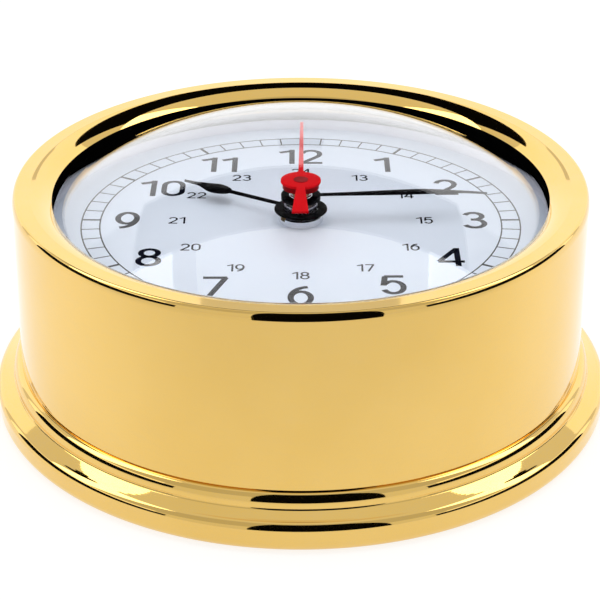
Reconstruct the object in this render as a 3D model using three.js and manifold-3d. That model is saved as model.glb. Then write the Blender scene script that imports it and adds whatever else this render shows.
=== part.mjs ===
// A round brass marine clock lying on its back: a turned case with a domed glass, lifted off a moulded
// base ring, with a battery movement, its gear train and three hands behind and in front of the dial.
// Millimetres, +Z out of the dial, twelve o'clock towards +Y, origin at the middle of the base's underside.

import * as THREE from "three";
import { mergeVertices } from "three/addons/utils/BufferGeometryUtils.js";
import Module from "manifold-3d";

const wasm = await Module();
wasm.setup();

// Clearances
const runningGap = 0.25;
const slipGap = 0.1;
const seatGap = 0.3;

// How far a cutting shape runs past the face that it opens
const past = 1;

// Base ring
const baseOverhang = 5;
const baseEdgeBottom = 2.2;
const baseEdgeTop = 4.6;
const baseEdgeRound = 1.8;
const landHeight = 9.8;
const beadRound = 1.6;
const beadWall = 0.8;
const coveRound = 0.8;
const coveLeanDeg = 65;
const webInset = 17.2;
const webThickness = 2.5;
const spigotWall = 3.2;
const spigotRise = 4.7;
const screwInset = 11.7;
const screwCount = 3;
const screwHoleRadius = 2.25;
const screwHeadRadius = 4.2;
const sealSection = 1.5;
const sealAboveLand = 2.6;

// Case
const caseRadius = 55.2;
const caseHeight = 35;
const caseWall = 2.5;
const rimRound = 1.8;
const rimRoundWidth = 0.8;
const bezelWidth = 8.1;
const bezelDrop = 1.8;
const lipWall = 2.6;
const dialWall = 4.7;
const dialBoreDepth = 10;
const boreShoulderSlope = 1.5;

// Glass, liner and dial
const gasketThickness = 0.4;
const gasketCollar = 0.6;
const glassRimThickness = 1.6;
const glassThickness = 1.4;
const glassRise = 14.4;
const linerHeight = 2.4;
const linerWidth = 2;
const dialThickness = 1;
const dialHoleRadius = 3.8;
const retainerThickness = 2.5;
const retainerWidth = 4;
const retainerSlotWidth = 4;
const retainerSlotDepth = 1.2;

// Threaded bush and nut that hold the movement to the dial
const bushBore = 2.8;
const bushRadius = 3.5;
const bushFlangeRadius = 5;
const bushFlangeThickness = 0.5;
const bushChamfer = 0.3;
const washerThickness = 0.8;
const washerRadius = 10;
const nutThickness = 1.7;
const nutRadius = 4.3;
const nutSlotWidth = 1.4;
const nutSlotDepth = 0.7;
const nutBevel = 0.25;
const nutTurnDeg = 35;

// Movement housing
const housingDepth = 16.2;
const housingWall = 1;
const housingCorner = 4;
const coverThickness = 1.2;
const bridgeThickness = 0.5;
const bridgePastAxleX = 3;
const bridgePastAxleY = 5;
const pillarSize = 3;
const batteryRadius = 7.1;
const batteryLength = 50.4;
const batteryNubRadius = 2.7;
const batteryNubLength = 1;
const batteryEndRound = 0.5;
const bayWall = 0.8;
const contactRoom = 1.8;

// Gear train: numbers of teeth, and the distances between the axles
const rotorLeaves = 8;
const transferTeeth = 48;
const transferLeaves = 8;
const secondsTeeth = 40;
const secondsLeaves = 8;
const thirdTeeth = 60;
const thirdLeaves = 8;
const minuteTeeth = 64;
const cannonLeaves = 8;
const motionTeeth = 24;
const motionLeaves = 8;
const hourTeeth = 32;
const settingTeeth = 12;
const rotorDistance = 6.4;
const transferDistance = 9.2;
const thirdDistance = 9;
const motionDistance = 9;
const transferAngleDeg = 60;
const rotorAngleDeg = 0;
const thirdAngleDeg = 150;
const motionAngleDeg = 190;
const settingAngleDeg = 200;
const wheelThickness = 0.8;
const layerPitch = 1.9;
const firstLayerDrop = 1.2;
const pinionOverlap = 0.2;
const arborRadius = 0.5;
const pivotRadius = 0.35;
const pivotLength = 0.45;
const cannonBore = 0.8;
const cannonRadius = 1.45;
const hourPipeBore = 1.75;
const hourPipeRadius = 2.4;
const motionStudRadius = 0.5;

// Stepping motor and electronics
const magnetRadius = 2.8;
const magnetThickness = 1.6;
const statorThickness = 0.8;
const statorHalfWidth = 4.2;
const statorGap = 0.5;
const statorLegWidth = 3.2;
const statorSpan = 21;
const statorPastAxle = 8.5;
const statorFootSize = 2.4;
const coilRadius = 3.3;
const coilLength = 12;
const bobbinFlange = 0.8;
const bobbinFlangeRadius = 3.9;
const bobbinSpindle = 1.8;
const coilWallGap = 0.5;
const coreWidth = 2.4;
const boardWidth = 24;
const boardLength = 12;
const boardThickness = 1;
const boardEdgeGap = 1.5;
const chipRadius = 3;
const chipHeight = 1.1;
const chipFromBoardEdge = 8;
const crystalCanRadius = 1;
const crystalCanLength = 6;
const crystalFromBoardEdge = 17.3;
const contactThickness = 0.3;
const contactWidth = 8;
const contactHeight = 9;
const springTurnRadius = 2.4;

// Setting knob on the back
const knobRadius = 4.5;
const knobThickness = 2;
const knobRidges = 16;
const knobRidgeDepth = 0.36;
const knobShaftRadius = 1;

// Hands: heights above the dial, hubs, lengths and the angles that they show, clockwise from twelve
const handThickness = 0.4;
const hourLevel = 2.3;
const hourHub = 5.1;
const hourReach = 26.7;
const hourStemHalf = 0.55;
const hourBellyHalf = 1.9;
const hourTipHalf = 0.22;
const hourDropFromTip = 11.7;
const hourMiddleFromTip = 8.5;
const hourShoulderFromTip = 6.9;
const hourTaperFromTip = 4.5;
const hourAngleDeg = 300.5;
const minuteLevel = 5.2;
const minuteHub = 3.8;
const minuteHubHeight = 1;
const minuteReach = 36;
const minuteStemHalf = 0.5;
const minuteBellyHalf = 1.05;
const minuteTipHalf = 0.2;
const minuteSwellFromTip = 22.5;
const minuteWidestFromTip = 13.7;
const minuteTaperFromTip = 7.2;
const minuteBendFromTip = 14.4;
const minuteAngleDeg = 86;
const minuteTipDrop = 0.9;
const secondLevel = 8.2;
const secondHub = 3.85;
const secondReach = 30;
const secondTail = 14.5;
const secondTipHalf = 0.35;
const secondRootHalf = 0.55;
const secondTailRootHalf = 0.75;
const secondTailEndHalf = 1.55;
const secondCollarHeight = 1.3;
const secondCollarRadius = 3.5;
const secondAngleDeg = 0.4;
const hourCollarRadius = 3.2;
const hourCollarHeight = 1.5;
const minuteCollarRadius = 2.3;
const minuteCollarHeight = 1.6;

// Facets
const ringFacets = 48;
const innerFacets = 32;
const hubFacets = 24;
const roundFacets = 16;
const smallFacets = 8;

// Radii and widths worked out from the sizes above
const baseRadius = caseRadius + baseOverhang;
const webInnerRadius = caseRadius - webInset;
const screwCircleRadius = caseRadius - screwInset;
const lipRadius = caseRadius - bezelWidth;
const dialBore = caseRadius - dialWall;
const seatRadius = dialBore - seatGap;
const housingSize = batteryLength + 2 * (housingWall + contactRoom);
const boardEdge = housingSize / 2 - housingWall - boardEdgeGap;

// Heights worked out from the sizes above
const caseTop = landHeight + caseHeight;
const lipEdge = caseTop - bezelDrop;
const bezelUnderside = lipEdge - lipWall;
const glassRimTop = bezelUnderside - gasketThickness;
const linerTop = glassRimTop - glassRimThickness;
const dialTop = linerTop - linerHeight;
const dialBack = dialTop - dialThickness;
const frontFace = -dialThickness - washerThickness;
const frontInside = frontFace - housingWall;
const backFace = frontFace - housingDepth;
const coverInside = backFace + coverThickness;
const layerZ = (layer) => frontInside - firstLayerDrop - layer * layerPitch;
const boardFace = coverInside + seatGap + boardThickness;
const bridgeMiddle = (layerZ(1) + layerZ(2)) / 2;
const bridgeTop = bridgeMiddle + bridgeThickness / 2;
const bridgeBottom = bridgeMiddle - bridgeThickness / 2;

// Places of the axles in the movement, seen from the front
const radians = (degrees) => THREE.MathUtils.degToRad(degrees);
const polar = (distance, degrees) =>
  new THREE.Vector2(distance * Math.cos(radians(degrees)), distance * Math.sin(radians(degrees)));
const centreAxle = new THREE.Vector2(0, 0);
const transferAxle = polar(transferDistance, transferAngleDeg);
const rotorAxle = transferAxle.clone().add(polar(rotorDistance, rotorAngleDeg));
const thirdAxle = polar(thirdDistance, thirdAngleDeg);
const motionAxle = polar(motionDistance, motionAngleDeg);
const motionModule = (2 * motionDistance) / (cannonLeaves + motionTeeth);
const settingDistance = (motionModule * (motionTeeth + settingTeeth)) / 2;
const settingAxle = motionAxle.clone().add(polar(settingDistance, settingAngleDeg));
const bayRadius = batteryRadius + seatGap;
const bayY = -housingSize / 2 + housingWall + bayRadius;
const bayZ = frontInside - bayRadius;
const bayTopY = bayY + bayRadius + bayWall;

// Finishes
const finish = (color, roughness, metalness) => () =>
  new THREE.MeshStandardMaterial({ color, roughness, metalness });
const polishedBrass = finish(0xf2c766, 0.08, 1);
const plainBrass = finish(0xc9a24f, 0.35, 1);
const steel = finish(0xb8b9bd, 0.25, 1);
const blackLacquer = finish(0x0a0a0b, 0.15, 0);
const redLacquer = finish(0xe3141c, 0.3, 0);
const whiteEnamel = finish(0xeef0f6, 0.45, 0);
const blackPlastic = finish(0x1b1c1e, 0.55, 0);
const gearPlastic = finish(0xe9e6dc, 0.5, 0);
const blackRubber = finish(0x151515, 0.85, 0);
const copperWire = finish(0xa8562b, 0.35, 1);
const greenBoard = finish(0x1f5b34, 0.6, 0);
const magnetGrey = finish(0x55585c, 0.5, 0.6);
const cellWrap = finish(0x3a3d44, 0.4, 0);
const clearGlass = () =>
  new THREE.MeshStandardMaterial({ color: 0xffffff, roughness: 0.02, transparent: true, opacity: 0.2 });

// Solids

// A point list turned round +Z. Each point is [radius, height]; a ring's list closes on itself.
function turned(points, facets = ringFacets) {
  const onAxis = points[0][0] === 0 && points[points.length - 1][0] === 0;
  const loop = onAxis ? points : [...points, points[0]];
  let area = 0;
  loop.forEach(([r, z], i) => {
    const [nextR, nextZ] = loop[(i + 1) % loop.length];
    area += r * nextZ - nextR * z;
  });
  if (area < 0) loop.reverse();
  const profile = loop.map(([r, z]) => new THREE.Vector2(r, z));
  return new THREE.LatheGeometry(profile, facets).rotateX(Math.PI / 2);
}

// Points of an arc in the turning plane, from one angle to another.
function arc(centreR, centreZ, radius, fromDeg, toDeg, steps) {
  return Array.from({ length: steps + 1 }, (_, i) => {
    const angle = radians(fromDeg + ((toDeg - fromDeg) * i) / steps);
    return [centreR + radius * Math.cos(angle), centreZ + radius * Math.sin(angle)];
  });
}

const ring = (inner, outer, bottom, top, facets = ringFacets) =>
  turned([[inner, bottom], [outer, bottom], [outer, top], [inner, top]], facets);

const disc = (radius, bottom, top, facets = roundFacets) =>
  turned([[0, bottom], [radius, bottom], [radius, top], [0, top]], facets);

const plate = (shape, bottom, top, curveSegments = 6) =>
  new THREE.ExtrudeGeometry(shape, { depth: top - bottom, bevelEnabled: false, curveSegments })
    .translate(0, 0, bottom);

function box(left, right, front, back, bottom, top) {
  return new THREE.BoxGeometry(right - left, back - front, top - bottom)
    .translate((left + right) / 2, (front + back) / 2, (bottom + top) / 2);
}

const moved = (geometry, place, z = 0) => geometry.translate(place.x, place.y, z);

function solid(geometry) {
  const bare = new THREE.BufferGeometry();
  bare.setAttribute("position", geometry.getAttribute("position").clone());
  if (geometry.index) bare.setIndex(geometry.index.clone());
  const merged = mergeVertices(bare, 1e-4);
  return new wasm.Manifold(new wasm.Mesh({
    numProp: 3,
    vertProperties: merged.attributes.position.array,
    triVerts: new Uint32Array(merged.index.array),
  }));
}

function geometryOf(body) {
  const mesh = body.getMesh();
  const places = new Float32Array(mesh.numVert * 3);
  for (let i = 0; i < mesh.numVert; i++) {
    places.set(mesh.vertProperties.subarray(i * mesh.numProp, i * mesh.numProp + 3), i * 3);
  }
  const result = new THREE.BufferGeometry();
  result.setAttribute("position", new THREE.BufferAttribute(places, 3));
  result.setIndex(new THREE.BufferAttribute(mesh.triVerts, 1));
  result.computeVertexNormals();
  return result;
}

const cut = (first, ...rest) =>
  geometryOf(rest.reduce((body, tool) => body.subtract(solid(tool)), solid(first)));

const joined = (first, ...rest) =>
  geometryOf(rest.reduce((body, piece) => body.add(solid(piece)), solid(first)));

// Toothed wheels

// A wheel's outline: straight-sided teeth that narrow to the tip, with a pointed gap between them.
function wheelShape(teeth, module, bore) {
  const pitchRadius = (teeth * module) / 2;
  const root = pitchRadius - 1.15 * module;
  const tip = pitchRadius + 0.85 * module;
  const tipHalf = (0.42 * module) / tip;
  const gap = Math.PI / teeth;
  return toothedShape(teeth, [[tip, -tipHalf], [tip, tipHalf], [root, gap]], bore);
}

// A pinion's outline: slim leaves with wide gaps between them for a wheel's tips.
function pinionShape(leaves, module, bore) {
  const pitchRadius = (leaves * module) / 2;
  const root = pitchRadius - 1.2 * module;
  const tip = pitchRadius + 0.7 * module;
  const rootHalf = (0.45 * module) / root;
  const tipHalf = (0.25 * module) / tip;
  return toothedShape(leaves, [[root, -rootHalf], [tip, -tipHalf], [tip, tipHalf], [root, rootHalf]], bore);
}

// One tooth, given as [radius, angle] points, repeated round the wheel, the first one on the +X axis.
function toothedShape(teeth, tooth, bore) {
  const points = [];
  for (let i = 0; i < teeth; i++) {
    const middle = (i * 2 * Math.PI) / teeth;
    tooth.forEach(([r, turn]) => {
      const angle = middle + turn;
      points.push(new THREE.Vector2(r * Math.cos(angle), r * Math.sin(angle)));
    });
  }
  const shape = new THREE.Shape(points);
  if (bore > 0) shape.holes.push(new THREE.Path().absarc(0, 0, bore, 0, 2 * Math.PI, true));
  return shape;
}

const pinionTop = (layer) => layerZ(layer) + wheelThickness / 2 + pinionOverlap;

function wheelDisc(teeth, module, layer, bore = 0) {
  const middle = layerZ(layer);
  return plate(wheelShape(teeth, module, bore), middle - wheelThickness / 2, middle + wheelThickness / 2);
}

// A pinion that reaches from its own wheel, on the layer behind, past both faces of the wheel it drives.
function pinionBarrel(leaves, module, layer, bore = 0) {
  const bottom = layerZ(layer + 1);
  return plate(pinionShape(leaves, module, bore), bottom, pinionTop(layer));
}

// An axle with a thin pivot at each end, between the faces of two plates.
function arbor(bottomFace, topFace) {
  const lower = bottomFace + seatGap;
  const upper = topFace - seatGap;
  return turned([
    [0, lower - pivotLength],
    [pivotRadius, lower - pivotLength],
    [pivotRadius, lower],
    [arborRadius, lower],
    [arborRadius, upper],
    [pivotRadius, upper],
    [pivotRadius, upper + pivotLength],
    [0, upper + pivotLength],
  ], smallFacets);
}

// Turns a wheel at one axle so that a gap faces the tooth of the wheel that it meets at another axle.
function meshAngle(from, fromTeeth, fromAngle, to, toTeeth) {
  const line = Math.atan2(to.y - from.y, to.x - from.x);
  const pitchesFrom = ((line - fromAngle) * fromTeeth) / (2 * Math.PI);
  return line + Math.PI - ((0.5 - pitchesFrom) * 2 * Math.PI) / toTeeth;
}

// Base

function mountingBase() {
  const beadTop = landHeight - beadRound;
  const wallFoot = beadTop - beadWall;
  const beadOuter = caseRadius + beadRound;
  const cove = arc(beadOuter + coveRound, wallFoot, coveRound, 180, 180 + coveLeanDeg, 3);
  const edgeCentre = baseRadius - baseEdgeRound;
  const edge = arc(edgeCentre, baseEdgeTop, baseEdgeRound, 75, 0, 3);
  const [coveEndR, coveEndZ] = cove[cove.length - 1];
  const [edgeStartR, edgeStartZ] = edge[0];
  const shelfR = coveEndR + 0.5 * (edgeStartR - coveEndR);
  const shelfZ = edgeStartZ + 0.3 * (coveEndZ - edgeStartZ);
  const foot = arc(baseRadius - baseEdgeBottom, baseEdgeBottom, baseEdgeBottom, 0, -90, 2);
  const spigotOuter = caseRadius - caseWall - seatGap;
  const spigotInner = spigotOuter - spigotWall;
  const spigotTop = landHeight + spigotRise;
  const grooveHalf = sealSection / 2 + slipGap;
  const grooveZ = landHeight + sealAboveLand;
  const grooveR = caseRadius - caseWall - sealSection - 2 * slipGap - seatGap;
  const body = turned([
    [webInnerRadius, 0],
    ...foot.reverse(),
    ...edge.reverse(),
    [shelfR, shelfZ],
    ...cove.reverse(),
    ...arc(caseRadius, beadTop, beadRound, 0, 90, 3),
    [spigotOuter, landHeight],
    [spigotOuter, grooveZ - grooveHalf],
    [grooveR, grooveZ - grooveHalf],
    [grooveR, grooveZ + grooveHalf],
    [spigotOuter, grooveZ + grooveHalf],
    [spigotOuter, spigotTop],
    [spigotInner, spigotTop],
    [spigotInner, webThickness],
    [webInnerRadius, webThickness],
  ]);
  const holes = Array.from({ length: screwCount }, (_, i) => {
    const place = polar(screwCircleRadius, 90 + (i * 360) / screwCount);
    const hole = turned([
      [0, -past],
      [screwHoleRadius, -past],
      [screwHoleRadius, webThickness - (screwHeadRadius - screwHoleRadius)],
      [screwHeadRadius, webThickness],
      [screwHeadRadius, webThickness + past],
      [0, webThickness + past],
    ], smallFacets);
    return moved(hole, place);
  });
  return cut(body, ...holes);
}

function baseSeal() {
  const radius = sealSection / 2;
  const centre = caseRadius - caseWall - slipGap - radius;
  const section = arc(centre, landHeight + sealAboveLand, radius, 0, 288, 4);
  return turned(section);
}

// Case, glass and dial

// The bezel's face, which leaves the rim level and rolls down to the vertical at its lip.
function bezelFace(steps) {
  const width = bezelWidth - rimRoundWidth;
  return Array.from({ length: steps }, (_, i) => {
    const angle = radians((90 * (i + 1)) / steps);
    const inwards = width * Math.sin(angle) ** (2 / 3);
    return [caseRadius - rimRoundWidth - inwards, lipEdge + bezelDrop * Math.cos(angle)];
  });
}

function caseShell() {
  const bore = caseRadius - caseWall;
  const shoulder = bezelUnderside - dialBoreDepth;
  const rim = arc(0, 0, 1, 0, 90, 4).map(([across, up]) =>
    [caseRadius - rimRoundWidth + rimRoundWidth * across, caseTop - rimRound + rimRound * up]);
  return turned([
    [bore, landHeight],
    [caseRadius, landHeight],
    ...rim,
    ...bezelFace(5),
    [lipRadius + gasketCollar, lipEdge],
    [lipRadius + gasketCollar, bezelUnderside],
    [dialBore, bezelUnderside],
    [dialBore, shoulder],
    [bore, shoulder - boreShoulderSlope],
  ]);
}

function domedGlass() {
  const domeEdge = lipRadius - seatGap;
  const outerBall = (domeEdge ** 2 + glassRise ** 2) / (2 * glassRise);
  const innerBall = outerBall - glassThickness;
  const ballCentre = glassRimTop + glassRise - outerBall;
  const steps = 5;
  const onBall = (ball, edge) => Array.from({ length: steps + 1 }, (_, i) => {
    const r = (edge * (steps - i)) / steps;
    return [r, ballCentre + Math.sqrt(ball ** 2 - r ** 2)];
  });
  const innerEdge = Math.sqrt(innerBall ** 2 - (linerTop - ballCentre) ** 2);
  return turned([
    ...onBall(innerBall, innerEdge).reverse(),
    [seatRadius, linerTop],
    [seatRadius, glassRimTop],
    ...onBall(outerBall, domeEdge),
  ], innerFacets);
}

// Flat over the glass's rim, with a collar that lines the bezel below its lip.
const glassGasket = () => turned([
  [lipRadius, glassRimTop],
  [seatRadius, glassRimTop],
  [seatRadius, bezelUnderside],
  [lipRadius + gasketCollar, bezelUnderside],
  [lipRadius + gasketCollar, lipEdge],
  [lipRadius, lipEdge],
]);

const whiteLiner = () => ring(seatRadius - linerWidth, seatRadius, dialTop, linerTop, innerFacets);

const dialPlate = () => ring(dialHoleRadius, seatRadius, dialBack, dialTop, innerFacets);

function retainingRing() {
  const inner = seatRadius - retainerWidth;
  const bottom = dialBack - retainerThickness;
  const body = ring(inner, seatRadius, bottom, dialBack, innerFacets);
  const slot = box(
    -seatRadius - past, seatRadius + past, -retainerSlotWidth / 2, retainerSlotWidth / 2,
    bottom - past, bottom + retainerSlotDepth,
  );
  return cut(body, slot);
}

// Movement pieces, in the movement's own frame: its origin is on the dial's face

function roundedSquare(size, corner) {
  const half = size / 2;
  const inner = half - corner;
  const shape = new THREE.Shape();
  shape.absarc(inner, inner, corner, 0, Math.PI / 2);
  shape.absarc(-inner, inner, corner, Math.PI / 2, Math.PI);
  shape.absarc(-inner, -inner, corner, Math.PI, (3 * Math.PI) / 2);
  shape.absarc(inner, -inner, corner, (3 * Math.PI) / 2, 2 * Math.PI);
  return shape;
}

function lyingBarrel(radius, left, right, facets = roundFacets) {
  return disc(radius, left, right, facets).rotateY(Math.PI / 2).translate(0, bayY, bayZ);
}

function movementHousing() {
  const half = housingSize / 2;
  const inside = half - housingWall;
  const block = plate(roundedSquare(housingSize, housingCorner), backFace, frontFace, 3);
  const gearRoom = box(-inside, inside, bayTopY, inside, backFace - past, frontInside);
  const bay = lyingBarrel(bayRadius, -inside, inside);
  const bayMouth = box(-inside, inside, bayY - bayRadius, bayY + bayRadius, backFace - past, bayZ);
  const bushHole = disc(bushRadius + slipGap, frontInside - past, frontFace + past);
  const studSeat = motionStudRadius + slipGap;
  const motionHole = moved(
    disc(studSeat, frontInside - past, frontInside + housingWall / 2, smallFacets), motionAxle);
  return cut(block, gearRoom, bay, bayMouth, bushHole, motionHole);
}

function bearingHole(place, from, to) {
  return moved(disc(pivotRadius + runningGap, from, to, smallFacets), place);
}

function rearCover() {
  const inside = housingSize / 2 - housingWall - seatGap;
  const front = bayTopY + seatGap;
  const lid = box(-inside, inside, front, inside, backFace, coverInside);
  const pivots = [centreAxle, transferAxle, rotorAxle, thirdAxle];
  const blind = pivots.map((place) => bearingHole(place, coverInside - pivotLength, coverInside + past));
  const knobHole = moved(
    disc(knobShaftRadius + runningGap, backFace - past, coverInside + past, smallFacets), settingAxle);
  const posts = statorFeet.map((y) => box(
    statorRight - statorFootSize, statorRight, y - statorFootSize / 2, y + statorFootSize / 2,
    coverInside - coverThickness / 2, statorBottom));
  return cut(joined(lid, ...posts), ...blind, knobHole);
}

// The plate between the motion work and the train, on four pillars that stand on the front of the housing.
function trainBridge() {
  const side = housingSize / 2 - housingWall - seatGap;
  const front = bayTopY + seatGap;
  const under = bridgeBottom - past;
  const over = bridgeTop + past;
  const bridgeRight = rotorAxle.x + bridgePastAxleX;
  const bridgeBack = rotorAxle.y + bridgePastAxleY;
  const plateBody = box(-side, bridgeRight, front, bridgeBack, bridgeBottom, bridgeTop);
  const pillars = [-side, bridgeRight - pillarSize].flatMap((x) =>
    [front, bridgeBack - pillarSize].map((y) =>
      box(x, x + pillarSize, y, y + pillarSize, bridgeMiddle, frontInside)));
  const centreHole = disc(cannonRadius + runningGap, under, over, smallFacets);
  const pivots = [transferAxle, rotorAxle, thirdAxle].map((place) => bearingHole(place, under, over));
  const shaftHole = moved(disc(knobShaftRadius + runningGap, under, over, smallFacets), settingAxle);
  const studTop = frontInside + housingWall / 2 - slipGap;
  const stud = moved(disc(motionStudRadius, bridgeMiddle, studTop, smallFacets), motionAxle);
  return cut(joined(plateBody, ...pillars, stud), centreHole, ...pivots, shaftHole);
}

function threadedBush() {
  const top = nutThickness + slipGap;
  return turned([
    [bushBore, frontInside],
    [bushRadius, frontInside],
    [bushRadius, frontFace],
    [bushFlangeRadius, frontFace],
    [bushFlangeRadius, frontFace + bushFlangeThickness],
    [bushRadius, frontFace + bushFlangeThickness],
    [bushRadius, top - bushChamfer],
    [bushRadius - bushChamfer, top],
    [bushBore, top],
  ], roundFacets);
}

const rubberWasher = () =>
  ring(bushFlangeRadius + slipGap, washerRadius, frontFace, -dialThickness, roundFacets);

function clampNut() {
  const body = turned([
    [bushRadius + slipGap, 0],
    [nutRadius - nutBevel, 0],
    [nutRadius, nutBevel],
    [nutRadius, nutThickness - nutBevel],
    [nutRadius - nutBevel, nutThickness],
    [bushRadius + slipGap, nutThickness],
  ], hubFacets);
  const slot = box(
    -nutRadius - past, nutRadius + past, -nutSlotWidth / 2, nutSlotWidth / 2,
    nutThickness - nutSlotDepth, nutThickness + past,
  );
  return cut(body, slot);
}

function rotor() {
  const module = (2 * rotorDistance) / (rotorLeaves + transferTeeth);
  const magnetMiddle = layerZ(6);
  const magnet = disc(magnetRadius, magnetMiddle - magnetThickness / 2, magnetMiddle + magnetThickness / 2);
  const pinion = plate(pinionShape(rotorLeaves, module, 0), magnetMiddle, pinionTop(5));
  return joined(arbor(coverInside, bridgeBottom), magnet, pinion);
}

function transferWheel() {
  const wheelModule = (2 * rotorDistance) / (rotorLeaves + transferTeeth);
  const pinionModule = (2 * transferDistance) / (transferLeaves + secondsTeeth);
  return joined(
    arbor(coverInside, bridgeBottom),
    wheelDisc(transferTeeth, wheelModule, 5),
    pinionBarrel(transferLeaves, pinionModule, 4),
  );
}

function secondsWheel() {
  const wheelModule = (2 * transferDistance) / (transferLeaves + secondsTeeth);
  const pinionModule = (2 * thirdDistance) / (secondsLeaves + thirdTeeth);
  const lower = coverInside + seatGap;
  const staff = turned([
    [0, lower - pivotLength],
    [pivotRadius, lower - pivotLength],
    [pivotRadius, lower],
    [arborRadius, lower],
    [arborRadius, secondLevel - slipGap],
    [0, secondLevel - slipGap],
  ], smallFacets);
  return joined(
    staff,
    wheelDisc(secondsTeeth, wheelModule, 4),
    pinionBarrel(secondsLeaves, pinionModule, 3),
  );
}

function thirdWheel() {
  const wheelModule = (2 * thirdDistance) / (secondsLeaves + thirdTeeth);
  const pinionModule = (2 * thirdDistance) / (thirdLeaves + minuteTeeth);
  return joined(
    arbor(coverInside, bridgeBottom),
    wheelDisc(thirdTeeth, wheelModule, 3),
    pinionBarrel(thirdLeaves, pinionModule, 2),
  );
}

// The rim that slips on the cannon pinion when the hands are set.
const minuteWheel = () =>
  wheelDisc(minuteTeeth, (2 * thirdDistance) / (thirdLeaves + minuteTeeth), 2, cannonRadius + runningGap);

function cannonPinion() {
  const foot = layerZ(2) - wheelThickness;
  const pipe = ring(cannonBore, cannonRadius, foot, minuteLevel + handThickness, smallFacets);
  const leaves = plate(
    pinionShape(cannonLeaves, motionModule, (cannonBore + cannonRadius) / 2),
    bridgeTop + seatGap, pinionTop(1),
  );
  return joined(pipe, leaves);
}

function motionWheel() {
  const pinionModule = (2 * motionDistance) / (motionLeaves + hourTeeth);
  const bore = motionStudRadius + runningGap;
  return joined(
    wheelDisc(motionTeeth, motionModule, 1, bore),
    plate(pinionShape(motionLeaves, pinionModule, bore), layerZ(1), pinionTop(0)),
  );
}

function hourWheel() {
  const module = (2 * motionDistance) / (motionLeaves + hourTeeth);
  const pipe = ring(
    hourPipeBore, hourPipeRadius, layerZ(0) - wheelThickness / 2, hourLevel + hourCollarHeight, hubFacets);
  return joined(pipe, wheelDisc(hourTeeth, module, 0, (hourPipeBore + hourPipeRadius) / 2));
}

function settingKnob() {
  const knobTop = backFace - seatGap;
  const top = layerZ(1) + wheelThickness / 2;
  const grip = new THREE.Shape(Array.from({ length: 2 * knobRidges }, (_, i) => {
    return polar(i % 2 ? knobRadius : knobRadius - knobRidgeDepth, (i * 180) / knobRidges);
  }));
  return joined(
    plate(grip, knobTop - knobThickness, knobTop),
    disc(knobShaftRadius, knobTop - knobThickness / 2, top, smallFacets),
    plate(pinionShape(settingTeeth, motionModule, 0), bridgeTop + seatGap, top),
  );
}

// Stepping motor: a C-shaped plate whose bar goes round the magnet, and a coil between its two arms.
const statorBottom = layerZ(6) - statorThickness / 2;
const statorTop = layerZ(6) + statorThickness / 2;
const statorLeft = rotorAxle.x - statorHalfWidth;
const coilX = housingSize / 2 - housingWall - coilWallGap - bobbinFlangeRadius;
const statorRight = coilX + coreWidth / 2;
const statorLow = rotorAxle.y - statorPastAxle;
const statorHigh = statorLow + statorSpan;
const coilMiddleY = (statorLow + statorHigh) / 2;
const coilAxisZ = coverInside + seatGap + bobbinFlangeRadius;
const statorFeet = [statorLow + statorLegWidth / 2, statorHigh - statorLegWidth / 2];

function stator() {
  const right = rotorAxle.x + statorHalfWidth;
  const bar = box(statorLeft, right, statorLow, statorHigh, statorBottom, statorTop);
  const arms = statorFeet.map((y) =>
    box(statorLeft, statorRight, y - statorLegWidth / 2, y + statorLegWidth / 2, statorBottom, statorTop));
  const hole = moved(disc(magnetRadius + statorGap, statorBottom - past, statorTop + past), rotorAxle);
  return cut(joined(bar, ...arms), hole);
}

// The iron core inside the coil, with a foot at each end that stands on an arm of the stator.
function coilCore() {
  const left = coilX - coreWidth / 2;
  const right = coilX + coreWidth / 2;
  const bottom = coilAxisZ - statorThickness / 2;
  const bar = box(left, right, statorLow, statorHigh, bottom, bottom + statorThickness);
  const feet = statorFeet.map((y) =>
    box(left, right, y - statorLegWidth / 2, y + statorLegWidth / 2, statorTop, coilAxisZ));
  return joined(bar, ...feet);
}

const alongY = (geometry) => geometry.rotateX(-Math.PI / 2).translate(coilX, coilMiddleY, coilAxisZ);

function coilBobbin() {
  const half = coilLength / 2;
  const spool = alongY(turned([
    [0, -half - bobbinFlange],
    [bobbinFlangeRadius, -half - bobbinFlange],
    [bobbinFlangeRadius, -half],
    [bobbinSpindle, -half],
    [bobbinSpindle, half],
    [bobbinFlangeRadius, half],
    [bobbinFlangeRadius, half + bobbinFlange],
    [0, half + bobbinFlange],
  ], roundFacets));
  const slotHalf = coreWidth / 2 + slipGap;
  const slotDepth = statorThickness / 2 + slipGap;
  const slot = box(
    coilX - slotHalf, coilX + slotHalf, statorLow, statorHigh, coilAxisZ - slotDepth, coilAxisZ + slotDepth);
  return cut(spool, slot);
}

function coilWinding() {
  const half = coilLength / 2 - slipGap;
  return alongY(ring(bobbinSpindle + slipGap, coilRadius, -half, half, roundFacets));
}

function circuitBoard() {
  return box(
    -boardEdge, boardWidth - boardEdge, boardEdge - boardLength, boardEdge,
    boardFace - boardThickness, boardFace,
  );
}

function chipCap() {
  const cap = arc(0, 0, 1, 0, 90, 4).map(([r, z]) => [r * chipRadius, z * chipHeight]);
  cap[cap.length - 1][0] = 0;
  return turned([[0, 0], ...cap], smallFacets)
    .translate(chipFromBoardEdge - boardEdge, boardEdge - boardLength / 2, boardFace);
}

function crystalCan() {
  const axisZ = boardFace + crystalCanRadius + slipGap;
  return disc(crystalCanRadius, -crystalCanLength / 2, crystalCanLength / 2, smallFacets)
    .rotateY(Math.PI / 2)
    .translate(crystalFromBoardEdge - boardEdge, boardEdge - boardLength / 2, axisZ);
}

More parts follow.
